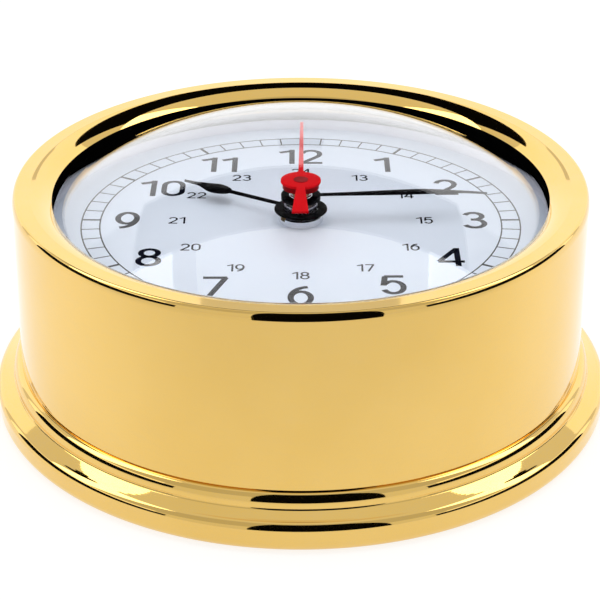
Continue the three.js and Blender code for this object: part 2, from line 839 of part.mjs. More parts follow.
function batteryCell() {
  const half = batteryLength / 2 - batteryNubLength / 2;
  return turned([
    [0, -half],
    [batteryRadius - batteryEndRound, -half],
    [batteryRadius, -half + batteryEndRound],
    [batteryRadius, half - batteryEndRound],
    [batteryRadius - batteryEndRound, half],
    [batteryNubRadius, half],
    [batteryNubRadius, half + batteryNubLength],
    [0, half + batteryNubLength],
  ], roundFacets).rotateY(Math.PI / 2).translate(-batteryNubLength / 2, bayY, bayZ);
}

// A bent strip in the end of the battery bay, with a pressed boss or a turned-out spring towards the cell.
function contactStrip(side) {
  const wall = housingSize / 2 - housingWall - slipGap;
  const strip = new THREE.BoxGeometry(contactThickness, contactWidth, contactHeight)
    .translate(side * (wall - contactThickness / 2), bayY, bayZ);
  const cellEnd = batteryLength / 2 + seatGap / 2;
  const bossRadius = side > 0 ? batteryNubRadius : springTurnRadius;
  const boss = turned([
    [0, cellEnd],
    [bossRadius * 0.7, cellEnd],
    [bossRadius, wall - contactThickness / 2],
    [0, wall - contactThickness / 2],
  ], smallFacets).rotateY((side * Math.PI) / 2).translate(0, bayY, bayZ);
  return joined(strip, boss);
}

// Hands: outlines drawn pointing to twelve, then turned to the time shown

function handBlank(outline, hub, bore, z, hubHeight = handThickness) {
  const top = z + handThickness;
  const blade = plate(outline, z, top, 6);
  const boss = disc(hub, top - hubHeight, top, hubFacets);
  const hole = disc(bore, top - hubHeight - past, top + past, hubFacets);
  return cut(joined(blade, boss), hole);
}

// A thin stem, a drop-shaped body and a needle tip.
function hourHand() {
  const stem = hourStemHalf;
  const belly = hourBellyHalf;
  const tip = hourTipHalf;
  const root = hourHub * 0.8;
  const dropStart = hourReach - hourDropFromTip;
  const dropMiddle = hourReach - hourMiddleFromTip;
  const shoulder = hourReach - hourShoulderFromTip;
  const taper = hourReach - hourTaperFromTip;
  const outline = new THREE.Shape();
  outline.moveTo(stem, root);
  outline.lineTo(stem, dropStart);
  outline.bezierCurveTo(belly * 1.1, dropStart, belly * 1.1, dropMiddle, belly * 0.8, shoulder);
  outline.bezierCurveTo(belly * 0.45, taper, tip, taper, tip, hourReach);
  outline.lineTo(-tip, hourReach);
  outline.bezierCurveTo(-tip, taper, -belly * 0.45, taper, -belly * 0.8, shoulder);
  outline.bezierCurveTo(-belly * 1.1, dropMiddle, -belly * 1.1, dropStart, -stem, dropStart);
  outline.lineTo(-stem, root);
  return handBlank(outline, hourHub, hourCollarRadius + slipGap, hourLevel);
}

const hourCollar = () => ring(
  hourPipeRadius + slipGap, hourCollarRadius, hourLevel - seatGap, hourLevel + hourCollarHeight, hubFacets);

// A slim leaf whose needle tip bends a little towards the dial.
function minuteHand() {
  const stem = minuteStemHalf;
  const belly = minuteBellyHalf;
  const tip = minuteTipHalf;
  const root = minuteHub * 0.8;
  const swell = minuteReach - minuteSwellFromTip;
  const widest = minuteReach - minuteWidestFromTip;
  const taper = minuteReach - minuteTaperFromTip;
  const outline = new THREE.Shape();
  outline.moveTo(stem, root);
  outline.bezierCurveTo(stem, swell, belly, swell, belly, widest);
  outline.bezierCurveTo(belly, taper, tip, taper, tip, minuteReach);
  outline.lineTo(-tip, minuteReach);
  outline.bezierCurveTo(-tip, taper, -belly, taper, -belly, widest);
  outline.bezierCurveTo(-belly, swell, -stem, swell, -stem, root);
  const bore = minuteCollarRadius + slipGap;
  const hand = handBlank(outline, minuteHub, bore, minuteLevel, minuteHubHeight);
  const bendStart = minuteReach - minuteBendFromTip;
  const places = hand.getAttribute("position");
  for (let i = 0; i < places.count; i++) {
    const along = Math.max(0, (places.getY(i) - bendStart) / (minuteReach - bendStart));
    places.setZ(i, places.getZ(i) - minuteTipDrop * along ** 2);
  }
  return hand;
}

const minuteCollar = () => ring(
  cannonRadius + slipGap, minuteCollarRadius, minuteLevel + handThickness - minuteCollarHeight,
  minuteLevel + handThickness, hubFacets);

// A straight needle with a round hub, a tail that widens to its end, and a collar below the hub.
function secondHand() {
  const join = secondHub * 0.8;
  const outline = new THREE.Shape();
  outline.moveTo(secondTipHalf, secondReach);
  outline.lineTo(-secondTipHalf, secondReach);
  outline.lineTo(-secondRootHalf, join);
  outline.lineTo(-secondTailRootHalf, -join);
  outline.lineTo(-secondTailEndHalf, -secondTail);
  outline.lineTo(secondTailEndHalf, -secondTail);
  outline.lineTo(secondTailRootHalf, -join);
  outline.lineTo(secondRootHalf, join);
  const blade = plate(outline, secondLevel, secondLevel + handThickness);
  const boss = disc(secondHub, secondLevel, secondLevel + handThickness, hubFacets);
  const collar = ring(
    arborRadius + slipGap, secondCollarRadius,
    secondLevel - secondCollarHeight, secondLevel + handThickness / 2, hubFacets);
  return joined(blade, boss, collar);
}

// Assembly

const clock = new THREE.Group();
const head = new THREE.Group();
const movement = new THREE.Group();
movement.position.z = dialTop;
head.add(movement);
clock.add(head);

function place(group, name, geometry, material, at = centreAxle, angle = 0) {
  const mesh = new THREE.Mesh(geometry, material());
  mesh.name = name;
  mesh.position.set(at.x, at.y, 0);
  mesh.rotation.z = angle;
  group.add(mesh);
}

place(clock, "mounting_base", mountingBase(), polishedBrass);
place(clock, "base_seal", baseSeal(), blackRubber);
place(head, "case_shell", caseShell(), polishedBrass);
place(head, "domed_glass", domedGlass(), clearGlass);
place(head, "glass_gasket", glassGasket(), blackRubber);
place(head, "dial_liner", whiteLiner(), whiteEnamel);
place(head, "dial_plate", dialPlate(), whiteEnamel);
place(head, "retaining_ring", retainingRing(), plainBrass);

place(movement, "movement_housing", movementHousing(), blackPlastic);
place(movement, "rear_cover", rearCover(), blackPlastic);
place(movement, "train_bridge", trainBridge(), gearPlastic);
place(movement, "threaded_bush", threadedBush(), plainBrass);
place(movement, "rubber_washer", rubberWasher(), blackRubber);
place(movement, "clamp_nut", clampNut(), steel, centreAxle, radians(nutTurnDeg));

const secondsPhase = 0;
const transferPhase = meshAngle(centreAxle, secondsTeeth, secondsPhase, transferAxle, transferLeaves);
const rotorPhase = meshAngle(transferAxle, transferTeeth, transferPhase, rotorAxle, rotorLeaves);
const thirdPhase = meshAngle(centreAxle, secondsLeaves, secondsPhase, thirdAxle, thirdTeeth);
const minutePhase = meshAngle(thirdAxle, thirdLeaves, thirdPhase, centreAxle, minuteTeeth);
const cannonPhase = 0;
const motionPhase = meshAngle(centreAxle, cannonLeaves, cannonPhase, motionAxle, motionTeeth);
const hourPhase = meshAngle(motionAxle, motionLeaves, motionPhase, centreAxle, hourTeeth);
const settingPhase = meshAngle(motionAxle, motionTeeth, motionPhase, settingAxle, settingTeeth);

place(movement, "rotor", rotor(), magnetGrey, rotorAxle, rotorPhase);
place(movement, "transfer_wheel", transferWheel(), gearPlastic, transferAxle, transferPhase);
place(movement, "seconds_wheel", secondsWheel(), gearPlastic, centreAxle, secondsPhase);
place(movement, "third_wheel", thirdWheel(), gearPlastic, thirdAxle, thirdPhase);
place(movement, "minute_wheel", minuteWheel(), gearPlastic, centreAxle, minutePhase);
place(movement, "cannon_pinion", cannonPinion(), plainBrass, centreAxle, cannonPhase);
place(movement, "motion_wheel", motionWheel(), gearPlastic, motionAxle, motionPhase);
place(movement, "hour_wheel", hourWheel(), gearPlastic, centreAxle, hourPhase);
place(movement, "setting_knob", settingKnob(), gearPlastic, settingAxle, settingPhase);

place(movement, "stator", stator(), steel);
place(movement, "coil_core", coilCore(), steel);
place(movement, "coil_bobbin", coilBobbin(), gearPlastic);
place(movement, "coil_winding", coilWinding(), copperWire);
place(movement, "circuit_board", circuitBoard(), greenBoard);
place(movement, "control_chip", chipCap(), blackPlastic);
place(movement, "crystal_can", crystalCan(), steel);
place(movement, "battery_cell", batteryCell(), cellWrap);
place(movement, "positive_contact", contactStrip(1), steel);
place(movement, "negative_contact", contactStrip(-1), steel);

place(movement, "hour_hand", hourHand(), blackLacquer, centreAxle, -radians(hourAngleDeg));
place(movement, "hour_collar", hourCollar(), steel);
place(movement, "minute_hand", minuteHand(), blackLacquer, centreAxle, -radians(minuteAngleDeg));
place(movement, "minute_collar", minuteCollar(), steel);
place(movement, "second_hand", secondHand(), redLacquer, centreAxle, -radians(secondAngleDeg));

export default clock;
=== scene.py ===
"""Scene of a round brass marine clock that lies on its back.

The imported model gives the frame: bodies, joints and the box of every node. This script adds the
polished case and base ring, the domed glass, the printed dial, the hands and the finish of every
piece of the battery movement, then a plain white studio and the camera.

Sizes are in millimetres and become metres where a mesh is made.
"""

import logging
import math
from collections.abc import Callable, Iterable, Sequence
from dataclasses import dataclass
from enum import Enum
from typing import Protocol

import bpy
from mathutils import Matrix, Vector


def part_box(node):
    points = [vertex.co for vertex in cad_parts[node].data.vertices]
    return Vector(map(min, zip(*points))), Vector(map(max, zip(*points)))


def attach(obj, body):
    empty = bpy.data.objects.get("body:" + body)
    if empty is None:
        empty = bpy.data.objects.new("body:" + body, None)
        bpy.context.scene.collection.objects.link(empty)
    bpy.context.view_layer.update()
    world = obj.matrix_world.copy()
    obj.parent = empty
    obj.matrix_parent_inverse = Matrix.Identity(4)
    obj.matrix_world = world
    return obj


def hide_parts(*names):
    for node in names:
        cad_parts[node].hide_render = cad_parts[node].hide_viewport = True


LOG = logging.getLogger("marine_clock")
MM = 0.001  # metres in a millimetre
SHARP_DEG = 34  # least angle of a sharp edge
SOFT_DEG = 50  # the same for lofted and bevelled pieces
BEVEL_DEG = 40  # least angle of an edge that a bevel rounds
LONG_STRAIGHT = 6  # a straight longer than this many holds is held flat
TOUCHING = 1e-6  # a distance that counts as none
BANDS_PER_SCALE = 10 / math.pi  # bands per metre of a wave texture whose scale is 1

Point = tuple[float, float]
Triple = tuple[float, float, float]
Colour = Triple
Piece = bpy.types.Object
Node = bpy.types.Node
Socket = bpy.types.NodeSocket
Material = bpy.types.Material

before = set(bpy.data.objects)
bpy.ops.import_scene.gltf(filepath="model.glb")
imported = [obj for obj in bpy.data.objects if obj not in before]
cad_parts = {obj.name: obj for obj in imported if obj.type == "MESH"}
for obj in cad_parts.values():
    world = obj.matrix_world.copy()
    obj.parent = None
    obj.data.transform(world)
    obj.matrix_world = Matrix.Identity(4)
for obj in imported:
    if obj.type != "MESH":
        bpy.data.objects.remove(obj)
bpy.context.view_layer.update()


# Measures and outlines


def corners(node: str) -> tuple[Vector, Vector]:
    """Lowest and highest corner of a node's box, in millimetres."""
    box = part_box(node)
    return box[0] / MM, box[1] / MM


def bow(centre: Point, radii: Point, start_deg: float, end_deg: float, steps: int) -> list[Point]:
    """Points of an elliptic arc.

    Args:
        centre: Middle of the ellipse.
        radii: Half widths along the first and second direction.
        start_deg: Angle of the first point.
        end_deg: Angle of the last point.
        steps: Number of chords.

    Returns:
        The points, both ends included.
    """
    turns = [math.radians(start_deg + (end_deg - start_deg) * i / steps) for i in range(steps + 1)]
    return [(centre[0] + radii[0] * math.cos(t), centre[1] + radii[1] * math.sin(t)) for t in turns]


def arc(
    centre: Point, radius: float, start_deg: float, end_deg: float, steps: int = 10
) -> list[Point]:
    """Points of a round arc, with the same arguments as bow but one radius."""
    return bow(centre, (radius, radius), start_deg, end_deg, steps)


def with_held_edges(profile: Sequence[Point], hold: float) -> list[Point]:
    """Adds a point just inside both ends of each long straight, so that smooth shading stays flat.

    Args:
        profile: Closed outline.
        hold: Distance of the added points from the ends.

    Returns:
        The outline with the added points.
    """
    result: list[Point] = []
    for i, (r, z) in enumerate(profile):
        next_r, next_z = profile[(i + 1) % len(profile)]
        length = math.hypot(next_r - r, next_z - z)
        result.append((r, z))
        if length > LONG_STRAIGHT * hold:
            for along in (hold / length, 1 - hold / length):
                result.append((r + (next_r - r) * along, z + (next_z - z) * along))
    return result


# Meshes


def linked(name: str, data: bpy.types.ID) -> Piece:
    """Makes an object and links it into the scene.

    Args:
        name: The object's name.
        data: Its mesh, light or camera.

    Returns:
        The object.
    """
    made = bpy.data.objects.new(name, data)
    bpy.context.scene.collection.objects.link(made)
    return made


def mesh_object(
    name: str, vertices: Iterable[Sequence[float]], faces: Iterable[Sequence[int]]
) -> Piece:
    """Makes an object from points in millimetres.

    Args:
        name: The piece's name.
        vertices: Points, in millimetres.
        faces: Corners of each face, as places in the list of points.

    Returns:
        The new object, linked into the scene.
    """
    mesh = bpy.data.meshes.new(name)
    mesh.from_pydata([[c * MM for c in v] for v in vertices], [], list(faces))
    mesh.validate()
    return linked(name, mesh)


def smooth(piece: Piece, sharp_deg: float = SHARP_DEG) -> Piece:
    """Shades a piece smooth, but for its sharp edges.

    Args:
        piece: The piece.
        sharp_deg: Least angle of a sharp edge.

    Returns:
        The same piece.
    """
    piece.data.shade_smooth()
    piece.data.set_sharp_from_angle(angle=math.radians(sharp_deg))
    return piece


def turned_to(piece: Piece, degrees: float) -> Piece:
    """Turns a piece that points to twelve clockwise by an angle."""
    piece.data.transform(Matrix.Rotation(math.radians(-degrees), 4, "Z"))
    return piece


def lathe(name: str, profile: Sequence[Point], segments: int = 256, hold: float = 0.04) -> Piece:
    """Turns a closed outline round +Z.

    Args:
        name: The piece's name.
        profile: Outline of [radius, height] points. Those at radius 0 become one point.
        segments: Number of steps round.
        hold: Distance of the points that keep long straights flat.

    Returns:
        The turned piece.
    """
    outline = with_held_edges(profile, hold)
    pairs = zip(outline, outline[1:] + outline[:1])
    if sum(r * next_z - next_r * z for (r, z), (next_r, next_z) in pairs) < 0:
        outline.reverse()
    vertices: list[Sequence[float]] = []
    columns: list[list[int]] = []
    for r, z in outline:
        first = len(vertices)
        if r < TOUCHING:
            columns.append([first] * segments)
            vertices.append((0.0, 0.0, z))
            continue
        columns.append(list(range(first, first + segments)))
        for i in range(segments):
            turn = 2 * math.pi * i / segments
            vertices.append((r * math.cos(turn), r * math.sin(turn), z))
    faces = []
    for column, following in zip(columns, columns[1:] + columns[:1]):
        for k in range(segments):
            after = (k + 1) % segments
            quad = [column[k], column[after], following[after], following[k]]
            face = [corner for n, corner in enumerate(quad) if corner != quad[n - 1]]
            if len(set(face)) > 2:
                faces.append(face)
    return smooth(mesh_object(name, vertices, faces))


def flat_ring(
    name: str, radii: Point, heights: Point, segments: int = 192, hold: float = 0.04
) -> Piece:
    """Ring of square section between two radii and two heights, made like a lathe piece."""
    (inner, outer), (low, high) = radii, heights
    return lathe(name, [(inner, low), (outer, low), (outer, high), (inner, high)], segments, hold)


def prism(name: str, outline: Sequence[Point], bottom: float, top: float) -> Piece:
    """Raises a flat outline between two heights.

    Args:
        name: The piece's name.
        outline: Corners, anticlockwise.
        bottom: Height of the lower face.
        top: Height of the upper face.

    Returns:
        The prism.
    """
    count = len(outline)
    vertices = [(x, y, bottom) for x, y in outline] + [(x, y, top) for x, y in outline]
    sides = [(i, (i + 1) % count, count + (i + 1) % count, count + i) for i in range(count)]
    faces = [tuple(reversed(range(count))), tuple(range(count, 2 * count)), *sides]
    return mesh_object(name, vertices, faces)


def merged(name: str, parts: Sequence[Piece]) -> Piece:
    """Joins objects into the first one, under a new name.

    Args:
        name: The joined piece's name.
        parts: The objects, which are used up.

    Returns:
        The joined piece.
    """
    with bpy.context.temp_override(active_object=parts[0], selected_editable_objects=list(parts)):
        bpy.ops.object.join()
    parts[0].name = name
    parts[0].data.name = name
    return parts[0]


def apply_modifier(piece: Piece, modifier: bpy.types.Modifier) -> None:
    """Applies a modifier to its piece."""
    with bpy.context.temp_override(object=piece, active_object=piece):
        bpy.ops.object.modifier_apply(modifier=modifier.name)


def bevelled(piece: Piece, width: float) -> Piece:
    """Rounds the sharp edges of a piece with an applied bevel.

    Args:
        piece: The piece.
        width: Width of the bevel in millimetres.

    Returns:
        The same piece.
    """
    modifier = piece.modifiers.new("edge_round", "BEVEL")
    modifier.width = width * MM
    modifier.segments = 2
    modifier.limit_method = "ANGLE"
    modifier.angle_limit = math.radians(BEVEL_DEG)
    apply_modifier(piece, modifier)
    return smooth(piece, SOFT_DEG)


# Materials


class Graph:
    """Nodes of one material or world, with short calls to add and join them."""

    def __init__(self, name: str, world: bool = False) -> None:
        """Starts an empty material or world with its output node.

        Args:
            name: Its name.
            world: True for a world.
        """
        blocks, kind = (bpy.data.worlds, "World") if world else (bpy.data.materials, "Material")
        self.owner = blocks.new(name)
        self.owner.use_nodes = True
        self.nodes = self.owner.node_tree.nodes
        self.links = self.owner.node_tree.links
        self.nodes.clear()
        self.output = self.add("Output" + kind)

    def feed(self, target: Socket, value: object) -> None:
        """Joins another socket to an input, or sets the input's own value.

        Args:
            target: The input.
            value: An output's socket, or a plain value.
        """
        if isinstance(value, Socket):
            self.links.new(value, target)
        else:
            target.default_value = value

    def add(self, kind: str, *inputs: object, **settings: object) -> Node:
        """Adds a node.

        Args:
            kind: The node's type, without its leading ShaderNode.
            *inputs: Sockets or values for its first inputs, in order.
            **settings: Properties of the node, or else sockets or values for its inputs by name.

        Returns:
            The node.
        """
        node = self.nodes.new("ShaderNode" + kind)
        for key, value in settings.items():
            if hasattr(node, key):
                setattr(node, key, value)
            else:
                self.feed(node.inputs[key.replace("_", " ")], value)
        for target, value in zip(node.inputs, inputs):
            self.feed(target, value)
        return node

    def show(self, surface: Node) -> Node:
        """Joins a shader to the output, and gives it back."""
        self.feed(self.output.inputs["Surface"], surface.outputs[0])
        return surface

    def shader(self, **values: object) -> Node:
        """Adds the main shader, joined to the output, with its inputs by name."""
        return self.show(self.add("BsdfPrincipled", **values))

    def own_space(self) -> Socket:
        """Place in the piece's own space."""
        return self.add("TexCoord").outputs["Object"]

    def most(self, first: Socket, second: Socket) -> Socket:
        """The larger of two values."""
        return self.add("Math", first, second, operation="MAXIMUM").outputs[0]

    def noise(self, scale: float, detail: float, stretch: Triple = (1, 1, 1)) -> Socket:
        """Adds a noise in the piece's own space.

        Args:
            scale: Number of features per metre.
            detail: Number of finer layers.
            stretch: Scale along each direction.

        Returns:
            The noise's socket.
        """
        place = self.add("Mapping", Vector=self.own_space(), Scale=stretch).outputs[0]
        return self.add("TexNoise", Vector=place, Scale=scale, Detail=detail).outputs[0]

    def ramp(
        self, source: Socket, low: Colour, high: Colour, start: float = 0.35, end: float = 0.65
    ) -> Socket:
        """Turns a value into a blend of two colours.

        Args:
            source: The value.
            low: Colour at the start.
            high: Colour at the end.
            start: Value where the blend starts.
            end: Value where it ends.

        Returns:
            The colour's socket.
        """
        node = self.add("ValToRGB", source)
        first, last = node.color_ramp.elements
        first.position, last.position = start, end
        first.color, last.color = (*low, 1), (*high, 1)
        return node.outputs[0]

    def spread(self, source: Socket, low: float, high: float) -> Socket:
        """Maps a value from 0..1 to a range between two values."""
        return self.add("MapRange", Value=source, To_Min=low, To_Max=high).outputs[0]

    def bump(self, height: Socket, shader: Node, depth: float) -> None:
        """Roughens a shader's normal by a height of 0 to 1, whose full depth is in millimetres."""
        node = self.add("Bump", Height=height, Strength=1.0, Distance=depth * MM)
        self.feed(shader.inputs["Normal"], node.outputs[0])


class Finish(Protocol):
    """A finish that can make its own material."""

    name: str

    def build(self) -> Material:
        """Makes the material."""


@dataclass(frozen=True)
class PolishedBrass:
    """Brass polished to a mirror, under clear lacquer, with faint buffing marks round the axis."""

    name: str = "polished_brass"
    colour: Colour = (0.86, 0.55, 0.115)
    pale: Colour = (0.89, 0.58, 0.135)
    edge_tint: Colour = (1.0, 0.93, 0.72)
    roughness: Point = (0.02, 0.06)
    lacquer_roughness: float = 0.015
    lacquer_ior: float = 1.5
    cloud_scale: float = 38
    wipe_scale: float = 260
    wipe_stretch: Triple = (1, 1, 9)
    ripple_scale: float = 30
    ripple_depth: float = 0.012

    def build(self) -> Material:
        """Makes the material.

        Returns:
            The material.
        """
        graph = Graph(self.name)
        cloud = graph.noise(self.cloud_scale, 4)
        wipe = graph.noise(self.wipe_scale, 5, self.wipe_stretch)
        shader = graph.shader(
            Base_Color=graph.ramp(cloud, self.colour, self.pale),
            Metallic=1.0,
            Roughness=graph.spread(wipe, *self.roughness),
            Specular_Tint=(*self.edge_tint, 1),
            Coat_Weight=1.0,
            Coat_Roughness=self.lacquer_roughness,
            Coat_IOR=self.lacquer_ior,
        )
        graph.bump(graph.noise(self.ripple_scale, 1), shader, self.ripple_depth)
        return graph.owner


@dataclass(frozen=True)
class ClearGlass:
    """Clear mineral glass that lets the lamps' light through without a shadow."""

    name: str = "clear_glass"
    ior: float = 1.5
    mirror: float = 0.045
    haze_scale: float = 60
    haze_depth: float = 0.0004

    def build(self) -> Material:
        """Makes the material.

        Returns:
            The material.
        """
        graph = Graph(self.name)
        shader = graph.shader(
            Base_Color=(1, 1, 1, 1),
            Roughness=0.0,
            IOR=self.ior,
            Transmission_Weight=1.0,
            Specular_IOR_Level=self.mirror,
        )
        graph.bump(graph.noise(self.haze_scale, 1), shader, self.haze_depth)
        shadow = graph.add("LightPath").outputs["Is Shadow Ray"]
        clear = graph.add("BsdfTransparent")
        graph.show(graph.add("MixShader", shadow, shader.outputs[0], clear.outputs[0]))
        return graph.owner


@dataclass(frozen=True)
class Satin:
    """A painted, moulded or rubber surface with a fine grain and slight changes of colour."""

    name: str
    colour: Colour
    worn: Colour
    roughness: Point
    grain: float
    grain_depth: float
    coat: float = 0.0
    metallic: float = 0.0
    ior: float = 1.5
    stretch: Triple = (1, 1, 1)
    coat_roughness: float = 0.04
    cloud_share: float = 0.12

    def build(self) -> Material:
        """Makes the material.

        Returns:
            The material.
        """
        graph = Graph(self.name)
        cloud = graph.noise(self.grain * self.cloud_share, 3, self.stretch)
        grain = graph.noise(self.grain, 4, self.stretch)
        shader = graph.shader(
            Base_Color=graph.ramp(cloud, self.colour, self.worn),
            Metallic=self.metallic,
            Roughness=graph.spread(grain, *self.roughness),
            IOR=self.ior,
            Coat_Weight=self.coat,
            Coat_Roughness=self.coat_roughness,
        )
        graph.bump(grain, shader, self.grain_depth)
        return graph.owner


class Band(Enum):
    """Ways in which a wound or striped surface runs."""

    ALONG_X = "X"
    ALONG_Y = "Y"
    ALONG_Z = "Z"


@dataclass(frozen=True)
class Banded:
    """A surface of fine parallel bands, such as a winding of wire or a turned face, whose grooves
    get a darker colour as painted shade.
    """

    name: str
    colour: Colour
    groove: Colour
    pitch: float
    direction: Band
    depth: float
    metallic: float
    roughness: float
    waver: float = 0.6

    def build(self) -> Material:
        """Makes the material.

        Returns:
            The material.
        """
        graph = Graph(self.name)
        wave = graph.add(
            "TexWave",
            wave_type="BANDS",
            bands_direction=self.direction.value,
            Vector=graph.own_space(),
            Scale=1 / (BANDS_PER_SCALE * self.pitch * MM),
            Distortion=self.waver,
            Detail=2,
        ).outputs["Fac"]
        # The grooves' darker colour is painted shade between the bands.
        colour = graph.ramp(wave, self.groove, self.colour, 0.1, 0.6)
        shader = graph.shader(
            Base_Color=colour, Metallic=self.metallic, Roughness=self.roughness
        )
        graph.bump(wave, shader, self.depth)
        return graph.owner


@dataclass(frozen=True)
class CircuitGreen:
    """Green solder mask over copper tracks, which show as lighter raised bands."""

    name: str = "board_green"
    mask: Colour = (0.012, 0.105, 0.035)
    track: Colour = (0.03, 0.2, 0.07)
    cell_scale: float = 420
    relief: float = 0.03

    def build(self) -> Material:
        """Makes the material.

        Returns:
            The material.
        """
        graph = Graph(self.name)
        distance = graph.add(
            "TexVoronoi",
            feature="F1",
            distance="MANHATTAN",
            Vector=graph.own_space(),
            Scale=self.cell_scale,
        ).outputs["Distance"]
        colour = graph.ramp(distance, self.track, self.mask, 0.28, 0.34)
        shader = graph.shader(Base_Color=colour, Roughness=0.35, Coat_Weight=0.4)
        graph.bump(distance, shader, self.relief)
        return graph.owner


CASE_BRASS = PolishedBrass()
GLASS = ClearGlass()
BOARD_GREEN = CircuitGreen()
DIAL_ENAMEL = Satin(
    "dial_enamel", (0.77, 0.85, 0.98), (0.785, 0.865, 0.995), (0.42, 0.5), 1500, 0.002, ior=1.3
)
DIAL_INK = Satin(
    "dial_ink", (0.005, 0.006, 0.014), (0.009, 0.01, 0.02), (0.4, 0.5), 2500, 0.001, ior=1.02
)
LINER_WHITE = Satin("liner_white", (0.85, 0.85, 0.93), (0.87, 0.87, 0.95), (0.4, 0.5), 1800, 0.002)
BLACK_LACQUER = Satin(
    "black_lacquer", (0.004, 0.004, 0.005), (0.008, 0.008, 0.009), (0.1, 0.16), 2200, 0.0015,
    ior=1.06,
)
RED_LACQUER = Satin(
    "red_lacquer", (0.80, 0.006, 0.012), (0.84, 0.01, 0.016), (0.32, 0.4), 2200, 0.002, ior=1.03
)
DARK_RED = Satin(
    "red_collar", (0.26, 0.002, 0.004), (0.32, 0.003, 0.006), (0.35, 0.45), 2200, 0.002, ior=1.1
)
BRIGHT_METAL = Satin(
    "bright_metal", (0.72, 0.73, 0.77), (0.78, 0.79, 0.82), (0.12, 0.2), 2600, 0.001, metallic=1.0
)
GREY_METAL = Satin(
    "grey_metal", (0.30, 0.30, 0.35), (0.36, 0.36, 0.41), (0.22, 0.32), 2600, 0.001, metallic=1.0
)
SPRING_STEEL = Satin(
    "spring_steel", (0.45, 0.45, 0.47), (0.56, 0.56, 0.58), (0.28, 0.4), 900, 0.003,
    metallic=1.0, stretch=(1, 12, 1),
)
TURNED_BRASS = Satin(
    "turned_brass", (0.62, 0.42, 0.15), (0.72, 0.52, 0.2), (0.25, 0.4), 1100, 0.003,
    metallic=1.0, stretch=(1, 1, 10),
)
BLACK_PLASTIC = Satin(
    "black_plastic", (0.018, 0.018, 0.02), (0.03, 0.03, 0.033), (0.45, 0.62), 1600, 0.02
)
IVORY_PLASTIC = Satin(
    "ivory_plastic", (0.72, 0.68, 0.56), (0.79, 0.76, 0.65), (0.38, 0.5), 1400, 0.006
)
# Gasket rubber, darker and less glossy than the base seal: partly the gasket's own black, partly a
# painted dark reflection standing for the black that the bezel's inner wall mirrors.
PAINTED_DARK_LIP_RUBBER = Satin(
    "lip_rubber_painted_dark", (0.001, 0.001, 0.001), (0.0015, 0.0015, 0.0015), (0.5, 0.6), 1800, 0.001,
    ior=1.01,
)
BLACK_RUBBER = Satin(
    "black_rubber", (0.012, 0.012, 0.012), (0.022, 0.022, 0.021), (0.7, 0.9), 1800, 0.02
)
FERRITE = Satin("ferrite", (0.05, 0.052, 0.056), (0.09, 0.09, 0.095), (0.45, 0.65), 2000, 0.01)
CELL_WRAP = Satin(
    "cell_wrap", (0.035, 0.038, 0.05), (0.05, 0.053, 0.065), (0.25, 0.35), 700, 0.002, coat=0.5
)
# Copper wire turns; the darker second colour is painted shade in the grooves between them.
COPPER_WINDING = Banded(
    "copper_winding", (0.62, 0.2, 0.06), (0.16, 0.04, 0.015), 0.22, Band.ALONG_Y, 0.06, 1.0, 0.3
)


class Finisher:
    """Keeps one material for each finish, so that pieces share it."""

    def __init__(self) -> None:
        """Starts with no material made."""
        self.made: dict[str, Material] = {}

    def material(self, finish: Finish) -> Material:
        """The material of a finish, made when it is first asked for."""
        if finish.name not in self.made:
            self.made[finish.name] = finish.build()
        return self.made[finish.name]

    def dress(self, piece: Piece, finish: Finish) -> None:
        """Gives a piece its finish."""
        piece.data.materials.clear()
        piece.data.materials.append(self.material(finish))

    def fit(
        self, piece: Piece, body: str, slot: str, nodes: Sequence[str], finish: Finish
    ) -> None:
        """Dresses a new piece and sets it on its body.

        Args:
            piece: The piece.
            body: The body that it rides on.
            slot: The record's material slot; not used.
            nodes: The nodes that it stands for.
            finish: Its finish.
        """
        self.dress(piece, finish)
        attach(piece, body)
        if nodes:
            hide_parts(*nodes)
        LOG.info("%s on %s: %d faces", piece.name, body, len(piece.data.polygons))


# The clock


